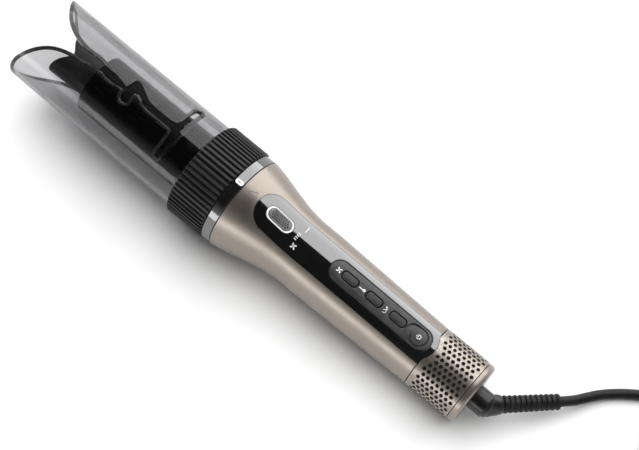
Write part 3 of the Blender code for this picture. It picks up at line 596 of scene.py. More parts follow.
class Shader:
    """A Principled material under construction; textures use the piece's own metres."""

    def __init__(self, name, colour, roughness, **sockets):
        self.material = bpy.data.materials.new(name)
        self.material.use_nodes = True
        self.nodes = self.material.node_tree.nodes
        self.links = self.material.node_tree.links
        self.surface = self.nodes["Principled BSDF"]
        self.where = self.nodes.new("ShaderNodeTexCoord").outputs["Object"]
        self.colour = (*colour, 1.0)
        self.surface.inputs["Base Color"].default_value = self.colour
        self.surface.inputs["Roughness"].default_value = roughness
        for socket, value in sockets.items():
            self.surface.inputs[socket.replace("_", " ")].default_value = value
        self.height = None

    def noise(self, size_mm, detail=3.0, stretch=(1, 1, 1)):
        """Noise whose lumps are about size_mm across."""
        mapping = self.nodes.new("ShaderNodeMapping")
        mapping.inputs["Scale"].default_value = stretch
        self.links.new(self.where, mapping.inputs["Vector"])
        node = self.nodes.new("ShaderNodeTexNoise")
        node.inputs["Scale"].default_value = 1.0 / (size_mm * MM)
        node.inputs["Detail"].default_value = detail
        self.links.new(mapping.outputs["Vector"], node.inputs["Vector"])
        return node.outputs["Fac"]

    def cells(self, size_mm, feature='F1'):
        node = self.nodes.new("ShaderNodeTexVoronoi")
        node.feature = feature
        node.inputs["Scale"].default_value = 1.0 / (size_mm * MM)
        self.links.new(self.where, node.inputs["Vector"])
        return node.outputs["Distance"]

    def bands(self, size_mm, direction='X', distortion=0.0):
        node = self.nodes.new("ShaderNodeTexWave")
        node.bands_direction = direction
        node.inputs["Scale"].default_value = 0.31416 / (size_mm * MM)
        node.inputs["Distortion"].default_value = distortion
        self.links.new(self.where, node.inputs["Vector"])
        return node.outputs["Fac"]

    def remap(self, value, low, high, out_low, out_high):
        node = self.nodes.new("ShaderNodeMapRange")
        for socket, number in zip(("From Min", "From Max", "To Min", "To Max"),
                                  (low, high, out_low, out_high)):
            node.inputs[socket].default_value = number
        self.links.new(value, node.inputs["Value"])
        return node.outputs["Result"]

    def tint(self, value, other, low=0.4, high=0.6):
        """Blend the base colour towards another where a texture is high."""
        mix = self.nodes.new("ShaderNodeMix")
        mix.data_type = 'RGBA'
        self.links.new(self.remap(value, low, high, 0.0, 1.0), mix.inputs["Factor"])
        current = self.surface.inputs["Base Color"]
        if current.is_linked:
            self.links.new(current.links[0].from_socket, mix.inputs["A"])
        else:
            mix.inputs["A"].default_value = self.colour
        mix.inputs["B"].default_value = (*other, 1.0)
        self.links.new(mix.outputs["Result"], self.surface.inputs["Base Color"])
        return self

    def roughen(self, value, low, high):
        """Let roughness run from low to high with a texture."""
        self.links.new(self.remap(value, 0.3, 0.7, low, high), self.surface.inputs["Roughness"])
        return self

    def emboss(self, value, height_mm, strength=1.0):
        """Add relief of a height in millimetres from a texture."""
        bump = self.nodes.new("ShaderNodeBump")
        bump.inputs["Strength"].default_value = strength
        bump.inputs["Distance"].default_value = height_mm * MM
        self.links.new(value, bump.inputs["Height"])
        normal = self.surface.inputs["Normal"]
        if normal.is_linked:
            self.links.new(normal.links[0].from_socket, bump.inputs["Normal"])
        self.links.new(bump.outputs["Normal"], normal)
        return self

    def wear(self, colour, amount=0.35):
        """Rub convex edges towards a colour, broken up by noise."""
        geometry = self.nodes.new("ShaderNodeNewGeometry")
        edge = self.remap(geometry.outputs["Pointiness"], 0.53, 0.62, 0.0, amount)
        patch = self.remap(self.noise(2.5), 0.42, 0.6, 0.0, 1.0)
        both = self.nodes.new("ShaderNodeMath")
        both.operation = 'MULTIPLY'
        self.links.new(edge, both.inputs[0])
        self.links.new(patch, both.inputs[1])
        return self.tint(both.outputs["Value"], colour, 0.0, 1.0)


def make_champagne():
    shader = Shader("champagne", (0.25, 0.218, 0.190), 0.38, Metallic=0.85,
                    Coat_Weight=0.2, Coat_Roughness=0.2)
    shader.tint(shader.noise(0.12, 2), (0.34, 0.298, 0.26), 0.5, 0.72)
    shader.tint(shader.noise(0.16, 2, (1.3, 1, 1)), (0.185, 0.158, 0.134), 0.55, 0.75)
    shader.roughen(shader.noise(9.0), 0.31, 0.39)
    shader.emboss(shader.noise(0.14, 2), 0.004)
    return shader.wear((0.62, 0.57, 0.52), 0.3).material


def make_gloss_black():
    shader = Shader("gloss_black", (0.003, 0.003, 0.0032), 0.06, IOR=2.35)
    shader.tint(shader.noise(22.0), (0.006, 0.006, 0.0065), 0.4, 0.7)
    shader.roughen(shader.noise(14.0, 5), 0.05, 0.10)
    return shader.material


def make_satin(name, colour, roughness, grain=0.35, height=0.012, shine=0.4):
    """Moulded plastic or rubber with a fine spark-eroded grain."""
    shader = Shader(name, colour, roughness, Specular_IOR_Level=shine)
    lighter = [min(1.0, c * 1.6 + 0.004) for c in colour]
    shader.tint(shader.noise(6.0), lighter, 0.45, 0.8)
    shader.roughen(shader.noise(3.0, 5), roughness - 0.05, roughness + 0.08)
    shader.emboss(shader.noise(grain, 3), height)
    return shader.wear([min(1.0, c * 3 + 0.01) for c in colour], 0.5).material


def make_clear():
    """Smoked clear plastic: it darkens with the path through it, and painted shade darkens its
    faces seen at a grazing angle, so its cut edges look black.
    """
    shader = Shader("smoke_clear", (0.80, 0.80, 0.805), 0.02, Transmission_Weight=1.0, IOR=1.38)
    shader.tint(shader.noise(30.0), (0.77, 0.77, 0.78), 0.4, 0.7)
    nodes, links = shader.nodes, shader.links
    grazing_painted_shade = nodes.new("ShaderNodeLayerWeight")
    # painted shade: colour darkened where a face is seen at a grazing angle
    shader.tint(grazing_painted_shade.outputs["Facing"], (0.10, 0.10, 0.105), 0.55, 1.0)
    shader.roughen(shader.noise(16.0, 4), 0.0, 0.03)
    path = nodes.new("ShaderNodeLightPath")
    passing = nodes.new("ShaderNodeBsdfTransparent")
    passing.inputs["Color"].default_value = (0.93, 0.93, 0.94, 1)
    mix = nodes.new("ShaderNodeMixShader")
    links.new(path.outputs["Is Shadow Ray"], mix.inputs["Fac"])
    links.new(shader.surface.outputs["BSDF"], mix.inputs[1])
    links.new(passing.outputs["BSDF"], mix.inputs[2])
    volume = nodes.new("ShaderNodeVolumeAbsorption")
    volume.inputs["Color"].default_value = (0.02, 0.02, 0.04, 1)
    volume.inputs["Density"].default_value = 165.0
    output = nodes["Material Output"]
    links.new(mix.outputs["Shader"], output.inputs["Surface"])
    links.new(volume.outputs["Volume"], output.inputs["Volume"])
    return shader.material


def make_rim():
    """The shroud's rounded edge, opaque and near black: partly the real darkening of the long path
    through the smoked plastic, partly painted shade for the dark band its refraction gives.
    """
    # painted shade: the clear rim is given an opaque near-black colour
    shader = Shader("rim_painted_dark", (0.010, 0.010, 0.0105), 0.03, IOR=1.49)
    shader.tint(shader.noise(5.0), (0.022, 0.022, 0.023), 0.4, 0.7)
    shader.roughen(shader.noise(7.0, 4), 0.02, 0.06)
    return shader.material


def make_ceramic():
    shader = Shader("barrel_black", (0.003, 0.003, 0.0033), 0.3, Specular_IOR_Level=0.06)
    shader.tint(shader.noise(1.2, 4, (0.2, 1, 1)), (0.006, 0.0058, 0.006), 0.45, 0.75)
    shader.roughen(shader.noise(1.5, 4, (0.1, 1, 1)), 0.22, 0.34)
    shader.emboss(shader.noise(0.3, 3, (0.3, 1, 1)), 0.004)
    return shader.wear((0.12, 0.12, 0.12), 0.3).material


def make_white(name, level, roughness):
    shader = Shader(name, (level, level, level * 0.99), roughness, Coat_Weight=0.3)
    shader.tint(shader.noise(4.0), (level * 0.94,) * 3, 0.45, 0.7)
    shader.roughen(shader.noise(2.0), roughness - 0.06, roughness + 0.08)
    return shader.material


def make_metal(name, colour, roughness, streak=(1, 1, 1)):
    shader = Shader(name, colour, roughness, Metallic=1.0)
    shader.tint(shader.noise(2.5, 4, streak), [c * 0.8 for c in colour], 0.45, 0.7)
    shader.roughen(shader.noise(0.8, 4, streak), roughness - 0.06, roughness + 0.12)
    shader.emboss(shader.noise(0.25, 3, streak), 0.003)
    return shader.material


def make_filter_mesh():
    """Woven wire seen through the sleeve's holes: fine bands in two directions, and small light
    specks that are painted glints.
    """
    shader = Shader("filter_mesh", (0.012, 0.012, 0.012), 0.4, Metallic=0.6)
    shader.tint(shader.bands(0.35, 'X'), (0.16, 0.16, 0.155), 0.55, 0.95)
    # painted glints: small light specks where the noise is high
    shader.tint(shader.noise(0.5, 3), (0.5, 0.49, 0.47), 0.68, 0.75)
    shader.roughen(shader.noise(0.6), 0.25, 0.5)
    shader.emboss(shader.bands(0.35, 'Y'), 0.08)
    return shader.material


def make_board():
    shader = Shader("board_green", (0.015, 0.10, 0.045), 0.35)
    shader.tint(shader.bands(0.9, 'X', 4.0), (0.02, 0.15, 0.07), 0.7, 0.8)
    shader.tint(shader.cells(2.0), (0.55, 0.5, 0.32), 0.09, 0.06)
    shader.roughen(shader.noise(1.5), 0.28, 0.45)
    return shader.material


def make_floor():
    shader = Shader("floor", (0.9, 0.9, 0.9), 0.85, Specular_IOR_Level=0.1)
    shader.tint(shader.noise(40.0), (0.885, 0.885, 0.885), 0.4, 0.6)
    shader.roughen(shader.noise(25.0), 0.8, 0.9)
    return shader.material


LOOKS = {
    "champagne": make_champagne(),
    "gloss_black": make_gloss_black(),
    "satin_black": make_satin("satin_black", (0.005, 0.005, 0.0053), 0.27),
    "collar_black": make_satin("collar_black", (0.004, 0.004, 0.0042), 0.34, 0.25, 0.006, 0.35),
    "cord_rubber": make_satin("cord_rubber", (0.006, 0.006, 0.0063), 0.46, 0.22, 0.01, 0.25),
    "plug_black": make_satin("plug_black", (0.010, 0.010, 0.0105), 0.5, 0.5, 0.02),
    "smoke_clear": make_clear(),
    "rim_painted_dark": make_rim(),
    "barrel_black": make_ceramic(),
    "tip_grey": make_satin("tip_grey", (0.012, 0.011, 0.010), 0.5, 0.4, 0.012, 0.25),
    "key_grey": make_satin("key_grey", (0.020, 0.020, 0.0205), 0.40, 0.2, 0.01, 0.3),
    "pad_gloss": make_satin("pad_gloss", (0.13, 0.13, 0.132), 0.24, 0.2, 0.003),
    "bezel_grey": make_satin("bezel_grey", (0.026, 0.026, 0.027), 0.36, 0.25, 0.008),
    "white": make_white("white", 0.86, 0.3),
    "print_white": make_white("print_white", 0.8, 0.5),
    "filter_mesh": make_filter_mesh(),
    "board_green": make_board(),
    "brass": make_metal("brass", (0.78, 0.66, 0.42), 0.25, (1, 1, 0.3)),
    "mica": make_satin("mica", (0.55, 0.5, 0.4), 0.4, 1.5, 0.05),
    "nylon_grey": make_satin("nylon_grey", (0.25, 0.25, 0.26), 0.45, 0.4, 0.02),
    "steel": make_metal("steel", (0.55, 0.55, 0.56), 0.28, (0.2, 1, 1)),
    "copper": make_metal("copper", (0.72, 0.4, 0.25), 0.3),
    "engraving": make_satin("engraving", (0.05, 0.04, 0.033), 0.6, 0.3, 0.004),
    "floor": make_floor(),
}


# ---------------------------------------------------------------- stage

HORIZON_GLOW = 0.75
ZENITH_GLOW = 0.02


def make_stage():
    """Pale floor, a softbox on each side, even light from above and dim light from all round."""
    half = 3.0
    bm = bmesh.new()
    bmesh.ops.create_grid(bm, x_segments=8, y_segments=8, size=half)
    mesh = bpy.data.meshes.new("floor")
    bm.to_mesh(mesh)
    bm.free()
    floor = bpy.data.objects.new("floor", mesh)
    floor.location.z = -0.0003
    bpy.context.scene.collection.objects.link(floor)
    mesh.materials.append(LOOKS["floor"])

    world = bpy.data.worlds.new("studio")
    world.use_nodes = True
    nodes, links = world.node_tree.nodes, world.node_tree.links
    background = nodes["Background"]
    background.inputs["Color"].default_value = (1, 1, 1, 1)
    sky = nodes.new("ShaderNodeSeparateXYZ")
    fade = nodes.new("ShaderNodeMapRange")
    fade.interpolation_type = 'SMOOTHSTEP'
    for socket, value in (("From Min", 0.12), ("From Max", 0.72), ("To Min", HORIZON_GLOW),
                          ("To Max", ZENITH_GLOW)):
        fade.inputs[socket].default_value = value
    links.new(nodes.new("ShaderNodeTexCoord").outputs["Generated"], sky.inputs["Vector"])
    links.new(sky.outputs["Z"], fade.inputs["Value"])
    links.new(fade.outputs["Result"], background.inputs["Strength"])
    bpy.context.scene.world = world

    add_softbox("softbox", (0.09, -0.172, 0.62), (0.09, -0.95, 0.10), 0.95, 2.8)
    add_softbox("fill", (0.05, 0.90, 0.31), (0.05, 1.05, 0.05), 1.5, 3.1)
    add_overhead((0.05, -0.36, 1.0), 3.9, 68.0)
    bpy.context.scene.view_settings.view_transform = 'Standard'


def add_overhead(towards, strength, spread_angle):
    """Even light from a wide patch of ceiling, which falls on what is matt."""
    data = bpy.data.lights.new("overhead", 'SUN')
    data.energy = strength
    data.angle = math.radians(spread_angle)
    lamp = bpy.data.objects.new("overhead", data)
    lamp.rotation_euler = Vector(towards).to_track_quat('Z', 'Y').to_euler()
    lamp.visible_camera = lamp.visible_glossy = lamp.visible_transmission = False
    bpy.context.scene.collection.objects.link(lamp)


def add_softbox(name, top, bottom, width, radiance):
    """A flat lamp, level along X, between the middles of its two long edges; it faces the tool.

    It shows in the gloss of what it falls on.
    """
    top, bottom = Vector(top), Vector(bottom)
    data = bpy.data.lights.new(name, 'AREA')
    data.shape = 'RECTANGLE'
    data.size = width
    data.size_y = (bottom - top).length
    data.energy = radiance * math.pi * data.size * data.size_y
    middle = (top + bottom) / 2
    across = Vector((1, 0, 0))
    away = across.cross(bottom - top).normalized()
    if away.dot(middle) < 0:
        away = -away
    turn = Matrix((across, away.cross(across), away)).transposed().to_4x4()
    lamp = bpy.data.objects.new(name, data)
    lamp.matrix_world = Matrix.Translation(middle) @ turn
    lamp.visible_camera = lamp.visible_diffuse = False
    bpy.context.scene.collection.objects.link(lamp)


# ---------------------------------------------------------------- cord and plug, in row millimetres

ROW = Matrix.Scale(MM, 4)


def relief_direction():
    flat = math.cos(RELIEF_DROOP)
    return Vector((-flat * math.cos(RELIEF_YAW), -flat * math.sin(RELIEF_YAW),
                   -math.sin(RELIEF_DROOP)))


def relief_end():
    """Centre of the strain relief's free end and the way it points, in row millimetres."""
    reach = RELIEF_BOSS + GAP + RELIEF_LENGTH
    end = TOOL @ (Vector((RELIEF_ROOT, 0, 0)) + relief_direction() * reach)
    return end / MM, (TOOL.to_3x3() @ relief_direction()).normalized()


def coil_angle(turns):
    return COIL_ENTRY - 2 * math.pi * turns


def coil_point(turns):
    """Centre of the cord after some turns: in over three columns, out again, and in once more."""
    columns = (1, 0, -1, -1, 0, 1, 1, 0, 0)
    index = min(int(turns), len(columns) - 2)
    change = smoothstep((turns - index - 0.8) / 0.2)
    column = columns[index] + (columns[index + 1] - columns[index]) * change
    layer = index // 3 + (change if index % 3 == 2 else 0)
    radius = COIL_MIDDLE + column * COIL_PITCH
    height = COIL_FLOOR + CORD_RADIUS + layer * COIL_PITCH
    return Vector((*polar(radius, coil_angle(turns), COIL_CENTRE), height))


def coil_top():
    return COIL_FLOOR + 2 * CORD_RADIUS + (COIL_LAYERS - 1) * COIL_PITCH


def plug_height():
    return coil_top() + GAP + PLUG_HALF_HEIGHT


def plug_heading():
    """Way the plug points: along the turn that it lies on."""
    angle = coil_angle(COIL_TURNS) - TAIL_SWEEP
    return Vector((math.sin(angle), -math.cos(angle), 0))


def tail_point(share):
    """The last stretch, which climbs off the coil to the plug's nose."""
    angle = coil_angle(COIL_TURNS) - TAIL_SWEEP * share
    radius = COIL_MIDDLE - COIL_PITCH * smoothstep(share * 1.4)
    base = COIL_FLOOR + CORD_RADIUS + (COIL_LAYERS - 1) * COIL_PITCH
    height = base + (plug_height() - base) * smoothstep(share)
    return Vector((*polar(radius, angle, COIL_CENTRE), height))


# From the strain relief down to the table and along it to the coil
CORD_ROUTE = ((-199.6, -37.4, 8.3), (-204.0, -44.0, 6.0), (-209.3, -51.4, 4.0),
              (-217.2, -59.2, 3.15), (-225.9, -65.8, 3.1), (-237.6, -73.5, 3.1),
              (-249.6, -81.2, 3.4))


def cord_path():
    """The cord's centre line from inside the strain relief to the plug's nose."""
    end, direction = relief_end()
    blend_in = 0.03                            # turns of the coil that the lead's curve takes in
    route = [end + direction * GAP, *[Vector(p) for p in CORD_ROUTE], coil_point(0),
             coil_point(blend_in)]
    path = [end - direction * 2.0, *catmull_rom(route, 8)]
    turns = blend_in
    while turns < COIL_TURNS:
        turns += 1 / 60
        path.append(coil_point(min(turns, COIL_TURNS)))
    path += [tail_point(k / 40) for k in range(1, 41)]
    return path


def make_plug(nose):
    """Moulded two-pin plug: waisted body with grip ridges, and two brass pins with sleeves."""
    heading = plug_heading()
    across = Vector((-heading.y, heading.x, 0))
    sections = [(0.0, 3.9, 3.9), (0.5, 4.6, 4.6), (4, 4.9, 4.9), (9, 5.6, 5.5), (14, 6.4, 6.2)]
    sections += [(17.5, 7.8, 7.2), (21, 10.0, 9.0), (24, 13.2, 10.8), (27, 16.0, 12.2),
                 (29.0, 17.4, 12.8), (31.0, 17.9, 13.0), (36.8, 17.9, 13.0), (37.6, 17.4, 12.6),
                 (38.0, 16.6, 11.9)]
    bm = bmesh.new()
    rings = []
    ridged = []
    for (a0, w0, h0), (a1, w1, h1) in zip(sections, sections[1:]):
        steps = 4 if 1 < a0 < 14 else 1
        for k in range(steps):
            t = k / steps
            dip = 0.35 if steps > 1 and k in (1, 2) else 0.0
            ridged.append((a0 + (a1 - a0) * t, w0 + (w1 - w0) * t - dip, h0 + (h1 - h0) * t - dip))
    ridged.append(sections[-1])
    for along, half_width, half_height in ridged:
        square = 1.0 if along < 20 else 0.8    # the head's outline is nearer to a rectangle
        ring = []
        for a in full_turn(48):
            c, s = (math.copysign(abs(f) ** square, f) for f in (math.cos(a), math.sin(a)))
            point = nose + heading * along + across * half_width * c
            point.z += half_height * s
            ring.append(bm.verts.new(point))
        rings.append(ring)
    cap_ends(bm, rings)
    bridge(bm, rings)
    made = [solid("plug_moulding", bm, "plug_black", "root", ["plug_body"], 40, matrix=ROW)]
    for number, side in enumerate((-1, 1), start=1):
        root = nose + heading * (PLUG_LENGTH + GAP) + across * side * PIN_SPACING / 2
        aim = heading.to_track_quat('Z', 'Y').to_matrix().to_4x4()
        where = ROW @ Matrix.Translation(root) @ aim
        thin = PIN_RADIUS - 0.25
        shank = turned_up([(0, thin), (10.2, thin), (10.5, PIN_RADIUS),
                           (PIN_LENGTH - 2.2, PIN_RADIUS), (PIN_LENGTH - 0.8, PIN_RADIUS - 0.5),
                           (PIN_LENGTH, 0.9)])
        made.append(solid(f"pin_{number}", shank, "brass", "root", [f"plug_pin_{number}"], 40,
                          matrix=where))
        sleeve = turned_up([(0.2, thin + 0.01), (0.2, PIN_RADIUS), (9.9, PIN_RADIUS),
                            (10.2, thin + 0.01)], False)
        made.append(solid(f"pin_sleeve_{number}", sleeve, "plug_black", "root", [], 40,
                          matrix=where))
    return made


def turned_up(section, capped=True, steps=32):
    """Turn a run of (height, radius) about Z; capped ends close it."""
    bm = bmesh.new()
    rings = [[bm.verts.new((*polar(r, a), z)) for a in full_turn(steps)] for z, r in section]
    bridge(bm, rings, closed=not capped)
    if capped:
        cap_ends(bm, rings)
    return bm


def make_tie():
    """A flat strap round the coil, with a small clasp."""
    inner = COIL_MIDDLE - COIL_PITCH - CORD_RADIUS - 0.2
    outer = COIL_MIDDLE + COIL_PITCH + CORD_RADIUS + 0.2
    low, high = COIL_FLOOR, coil_top()
    middle = ((inner + outer) / 2, (low + high) / 2)
    size = (outer - inner + 2 * GAP, high - low + 2 * GAP)
    hole = stadium(size[0], size[1], middle, 2.4, 6)
    rim = stadium(size[0] + 1.0, size[1] + 1.0, middle, 2.9, 6)
    upright = Matrix.Translation((*COIL_CENTRE, 0)) @ Matrix.Rotation(math.radians(15), 4, 'Z') \
        @ Matrix.Rotation(math.pi / 2, 4, 'X')
    bm = slab([rim, hole], -3.0, 3.0, upright, 0.15, 1)
    clasp = slab([stadium(1.4, 7.0, (outer + GAP - 0.1, middle[1]), 0.5, 4)], -2.6, 2.6,
                 upright, 0.3, 2)
    merge(bm, clasp)
    return solid("strap_tie", bm, "satin_black", "root", ["cord_tie"], 40, matrix=ROW)


def make_cord():
    path = cord_path()
    cord = solid("mains_cord", swept(path, CORD_RADIUS, 20), "cord_rubber", None,
                 ["cord", "cord_coil", "cord_tail"], 60, matrix=ROW)
    plug_pieces = make_plug(path[-1])
    tie = make_tie()
    end, direction = relief_end()
    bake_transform(cord)


# ---------------------------------------------------------------- handle

def skin_section(rear, front, outer_offset, inner_offset, step=2.5):
    """Section of the handle's skin between two stations and two offsets from its surface."""
    count = math.ceil((front - rear) / step)
    stations = [rear + (front - rear) * k / count for k in range(count + 1)]
    outer = [(s, handle_radius(s) + outer_offset) for s in reversed(stations)]
    inner = [(s, handle_radius(s) + inner_offset) for s in stations]
    return outer + inner


def box_shape(low, high):
    bm = bmesh.new()
    bmesh.ops.create_cube(bm, size=1.0)
    bmesh.ops.scale(bm, vec=[h - l for l, h in zip(low, high)], verts=bm.verts)
    bmesh.ops.translate(bm, vec=[(h + l) / 2 for l, h in zip(low, high)], verts=bm.verts)
    return bm


def bevelled(bm, width, segments=2, angle=50):
    """Round the sharp edges of a solid."""
    bmesh.ops.dissolve_limit(bm, angle_limit=math.radians(0.05), verts=bm.verts, edges=bm.edges)
    sharp = [edge for edge in bm.edges
             if len(edge.link_faces) == 2 and edge.calc_face_angle(0) > math.radians(angle)]
    bmesh.ops.bevel(bm, geom=sharp, offset=width, segments=segments, profile=0.5,
                    affect='EDGES', clamp_overlap=True)
    bmesh.ops.triangulate(bm, faces=[face for face in bm.faces if len(face.verts) > 4])
    return bm


SCREWS = ((88.0, 14.8, -10.5), (88.0, -14.8, -10.5), (159.5, 19.5, -14.5), (159.5, -19.5, -14.5))


def make_shells():
    """Two lacquered halves: the upper has the panel's window, the lower has the screw holes."""
    steps = 120
    section = skin_section(SHELL_REAR, SHELL_FRONT, 0, -SHELL_WALL)
    upper = carved(lathe(section, steps, 0.3),
                   ('INTERSECT', box_shape((0, -40, GAP / 2), (200, 40, 40))),
                   ('DIFFERENCE', prism(panel_outline(GAP), 5, 40)))
    holes = []
    for station, side, floor in SCREWS:
        boss = turned_up([(floor, 2.7), (-1.0, 2.7)], True, 20)
        bore = turned_up([(-30, 2.1), (-5, 2.1), (-5, 1.1), (0, 1.1)], True, 20)
        for bm in (boss, bore):
            bm.transform(Matrix.Translation((station, side, 0)))
        holes += [('UNION', boss), ('DIFFERENCE', bore)]
    lower = carved(lathe(section, steps, 0.3),
                   ('INTERSECT', box_shape((0, -40, -40), (200, 40, -GAP / 2))), *holes)
    for name, node, bm in (("upper_cover", "upper_shell", upper),
                           ("lower_cover", "lower_shell", lower)):
        solid(name, bm, "champagne", "root", [node], 30, slope=handle_slope)


def make_panel():
    """Gloss panel let into the upper shell, with openings for the bezel and the thumb ring."""
    opening = prism(stadium(BEZEL_LENGTH + 0.8, BEZEL_WIDTH + 0.8, segments=16), -8, 8)
    opening.transform(BEZEL_FRAME)
    thumb = prism(stadium(*THUMB_OPENING), -8, 8)
    thumb.transform(THUMB_FRAME)
    section = skin_section(PANEL_TAIL - 2, PANEL_FRONT + 2, 0.1, 0.1 - PANEL_THICKNESS)
    bm = carved(lathe(section, 144), ('INTERSECT', prism(panel_outline(0), 5, 40)),
                ('DIFFERENCE', opening), ('DIFFERENCE', thumb))
    solid("gloss_panel", bm, "gloss_black", "root", ["control_panel"], 30, slope=handle_slope)


def make_bezel():
    """Bezel in two layers: key openings, a recess and a slot for the slider and its stem."""
    slot = (SLIDER_STATION + SLIDER_TRAVEL / 2 - BEZEL_MIDDLE, 0)
    across = 2 * SLIDER_RADIUS + 0.8
    recess = stadium(SLIDER_TRAVEL + across, across, slot, None, 14)
    keys = [stadium(*KEY_OPENING, (station - BEZEL_MIDDLE, 0), 2.4, 6)
            for station in KEYS.values()]
    outline = stadium(BEZEL_LENGTH - 0.3, BEZEL_WIDTH - 0.3, segments=16)
    upper = slab([outline, recess, *keys], -0.75, BEZEL_PROUD, BEZEL_FRAME, 0.3, 3, BEZEL_BEND)
    stem = stadium(SLIDER_TRAVEL + 3.2, 3.2, slot, 1.5)
    lower = slab([outline, stem, *keys], -1.9, -0.78, BEZEL_FRAME, 0.05, 1, BEZEL_BEND)
    solid("control_bezel", merge(upper, lower), "bezel_grey", "root", ["button_bezel"])


def make_keys():
    for name, station in KEYS.items():
        bottom = KEY_FLOOR + GAP + KEY_TRAVEL - handle_radius(station)
        bm = slab([stadium(*KEY_CAP, (0, 0), 2.0, 8)], bottom, BEZEL_PROUD + 0.25,
                  BEZEL_FRAME @ Matrix.Translation((station - BEZEL_MIDDLE, 0, 0)), 0.55, 4,
                  BEZEL_BEND)
        solid(name + "_button_cap", bm, "key_grey", name + "_key", [name + "_button"])


def make_slider():
    """Round power slider: a flat top with a raised rim, on a stem through the slot."""
    r = SLIDER_RADIUS
    bm = turned_up([(-0.6, r - 0.15), (-0.45, r), (0.1, r), (0.34, r - 0.12), (0.45, r - 0.4),
                    (0.42, r - 0.9), (0.36, r - 2.2), (0.34, 0.6)], True, 56)
    merge(bm, turned_up([(-2.1, 1.3), (-0.55, 1.3)], True, 20))
    bend_down(bm, BEZEL_BEND)
    bm.transform(BEZEL_FRAME @ Matrix.Translation((SLIDER_STATION - BEZEL_MIDDLE, 0, 0)))
    solid("power_knob_cap", bm, "bezel_grey", "power_knob", ["power_slider"])


def make_thumb_control():
    """White surround, and a pad whose glossy top is pierced by staggered rows of small holes."""
    ring = slab([stadium(*THUMB_RING, segments=14), stadium(*THUMB_RING_HOLE, segments=14)], -1.9,
                0.35, THUMB_FRAME, 0.45, 4, THUMB_BEND)
    solid("thumb_surround", ring, "white", "root", ["thumb_ring"])
    outline = stadium(*THUMB_PAD, segments=14)
    core = slab([outline], -3.2, -0.5, THUMB_FRAME, 0.1, 1, THUMB_BEND)
    pitch = 1.55
    holes = []
    for row in (-1.5, -0.5, 0.5, 1.5):
        shift = pitch / 4 if row in (-1.5, 0.5) else -pitch / 4
        for column in range(-4, 5):
            x, y = column * pitch + shift, row * 1.3
            if abs(x) < 6.6 - abs(row):
                holes.append(circle(0.56, 12, (x, y)))
    top = slab([outline, *holes], -0.48, 0.55, THUMB_FRAME, 0.12, 2, THUMB_BEND)
    solid("thumb_pad", core, "satin_black", "thumb_key", ["thumb_button"])
    solid("thumb_grille", top, "pad_gloss", "thumb_key")


# ---------------------------------------------------------------- printed marks

def on_round(radius):
    """Surface of a cylinder about the tool's axis, as a function of (x, y, height)."""
    return lambda x, y, height: Vector((x, y, math.sqrt((radius + height) ** 2 - y * y)))


def on_handle(x, y, height):
    return on_round(handle_radius(x))(x, y, height)


def on_bezel(x, y, height, proud=BEZEL_PROUD):
    sink = BEZEL_BEND - math.sqrt(BEZEL_BEND ** 2 - y * y)
    return BEZEL_FRAME @ Vector((x - BEZEL_MIDDLE, y, proud - sink + height))


def on_slider(x, y, height):
    return on_bezel(x, y, height, SLIDER_TOP)


def print_lines(name, lines, width, surface, low, high, look="print_white", body="root"):
    """Thin strips of paint along flat lines, laid on a surface in steps that follow its curve."""
    bm = bmesh.new()
    for line in lines:
        line = [Vector(p) for p in line]
        for a, b in zip(line, line[1:]):
            along = (b - a).normalized()
            side = Vector((-along.y, along.x)) * width / 2
            a, b = a - along * width * 0.3, b + along * width * 0.3
            steps = max(1, math.ceil((b - a).length / 0.5))
            middles = [a.lerp(b, k / steps) for k in range(steps + 1)]
            corners = [p - side for p in middles] + [p + side for p in reversed(middles)]
            under = [bm.verts.new(surface(p.x, p.y, low)) for p in corners]
            over = [bm.verts.new(surface(p.x, p.y, high)) for p in corners]
            last = len(corners) - 1
            for k in range(steps):
                bm.faces.new((under[k + 1], under[k], under[last - k], under[last - k - 1]))
                bm.faces.new((over[k], over[k + 1], over[last - k - 1], over[last - k]))
            bridge(bm, [under, over])
    piece(name, finish_mesh(name, place(bm)), look, body)


def patch(outline, surface, low, high):
    """A convex patch of paint or plastic laid on a surface."""
    middle = sum(outline, Vector((0, 0))) / len(outline)
    bm = bmesh.new()
    rings = []
    for height in (low, high):
        ring = [bm.verts.new(surface(p.x, p.y, height)) for p in outline]
        hub = bm.verts.new(surface(middle.x, middle.y, height))
        for first, second in zip(ring, ring[1:] + ring[:1]):
            bm.faces.new((first, second, hub))
        rings.append(ring)
    bridge(bm, rings)
    return bm


def arc(centre, radius, start, end, count=12):
    return [polar(radius, math.radians(start + (end - start) * k / count), centre)
            for k in range(count + 1)]


def fan_icon(x, y, size):
    """Four short curved blades round a clear middle."""
    lines = []
    for k in range(4):
        turn = Matrix.Rotation(math.pi / 2 * (k + 0.5), 2)
        blade = [(0.35, -0.05), (0.65, 0.10), (0.95, 0.05), (1.1, -0.12)]
        lines.append([turn @ (Vector(p) * size) + Vector((x, y)) for p in blade])
    return lines


def print_dots(name, centres, size):
    bm = bmesh.new()
    for centre in centres:
        merge(bm, patch(circle(size, 14, centre), on_bezel, -0.02, 0.04))
    piece(name, finish_mesh(name, place(bm), 40), "print_white", "root")


def make_trim():
    """A fine raised bead in the panel, round the bezel's opening."""
    loop = stadium(BEZEL_LENGTH + 1.5, BEZEL_WIDTH + 1.5, (BEZEL_MIDDLE, 0), segments=14)
    print_lines("panel_trim", [loop + loop[:1]], 0.34, on_handle, 0.05, 0.26, "gloss_black")


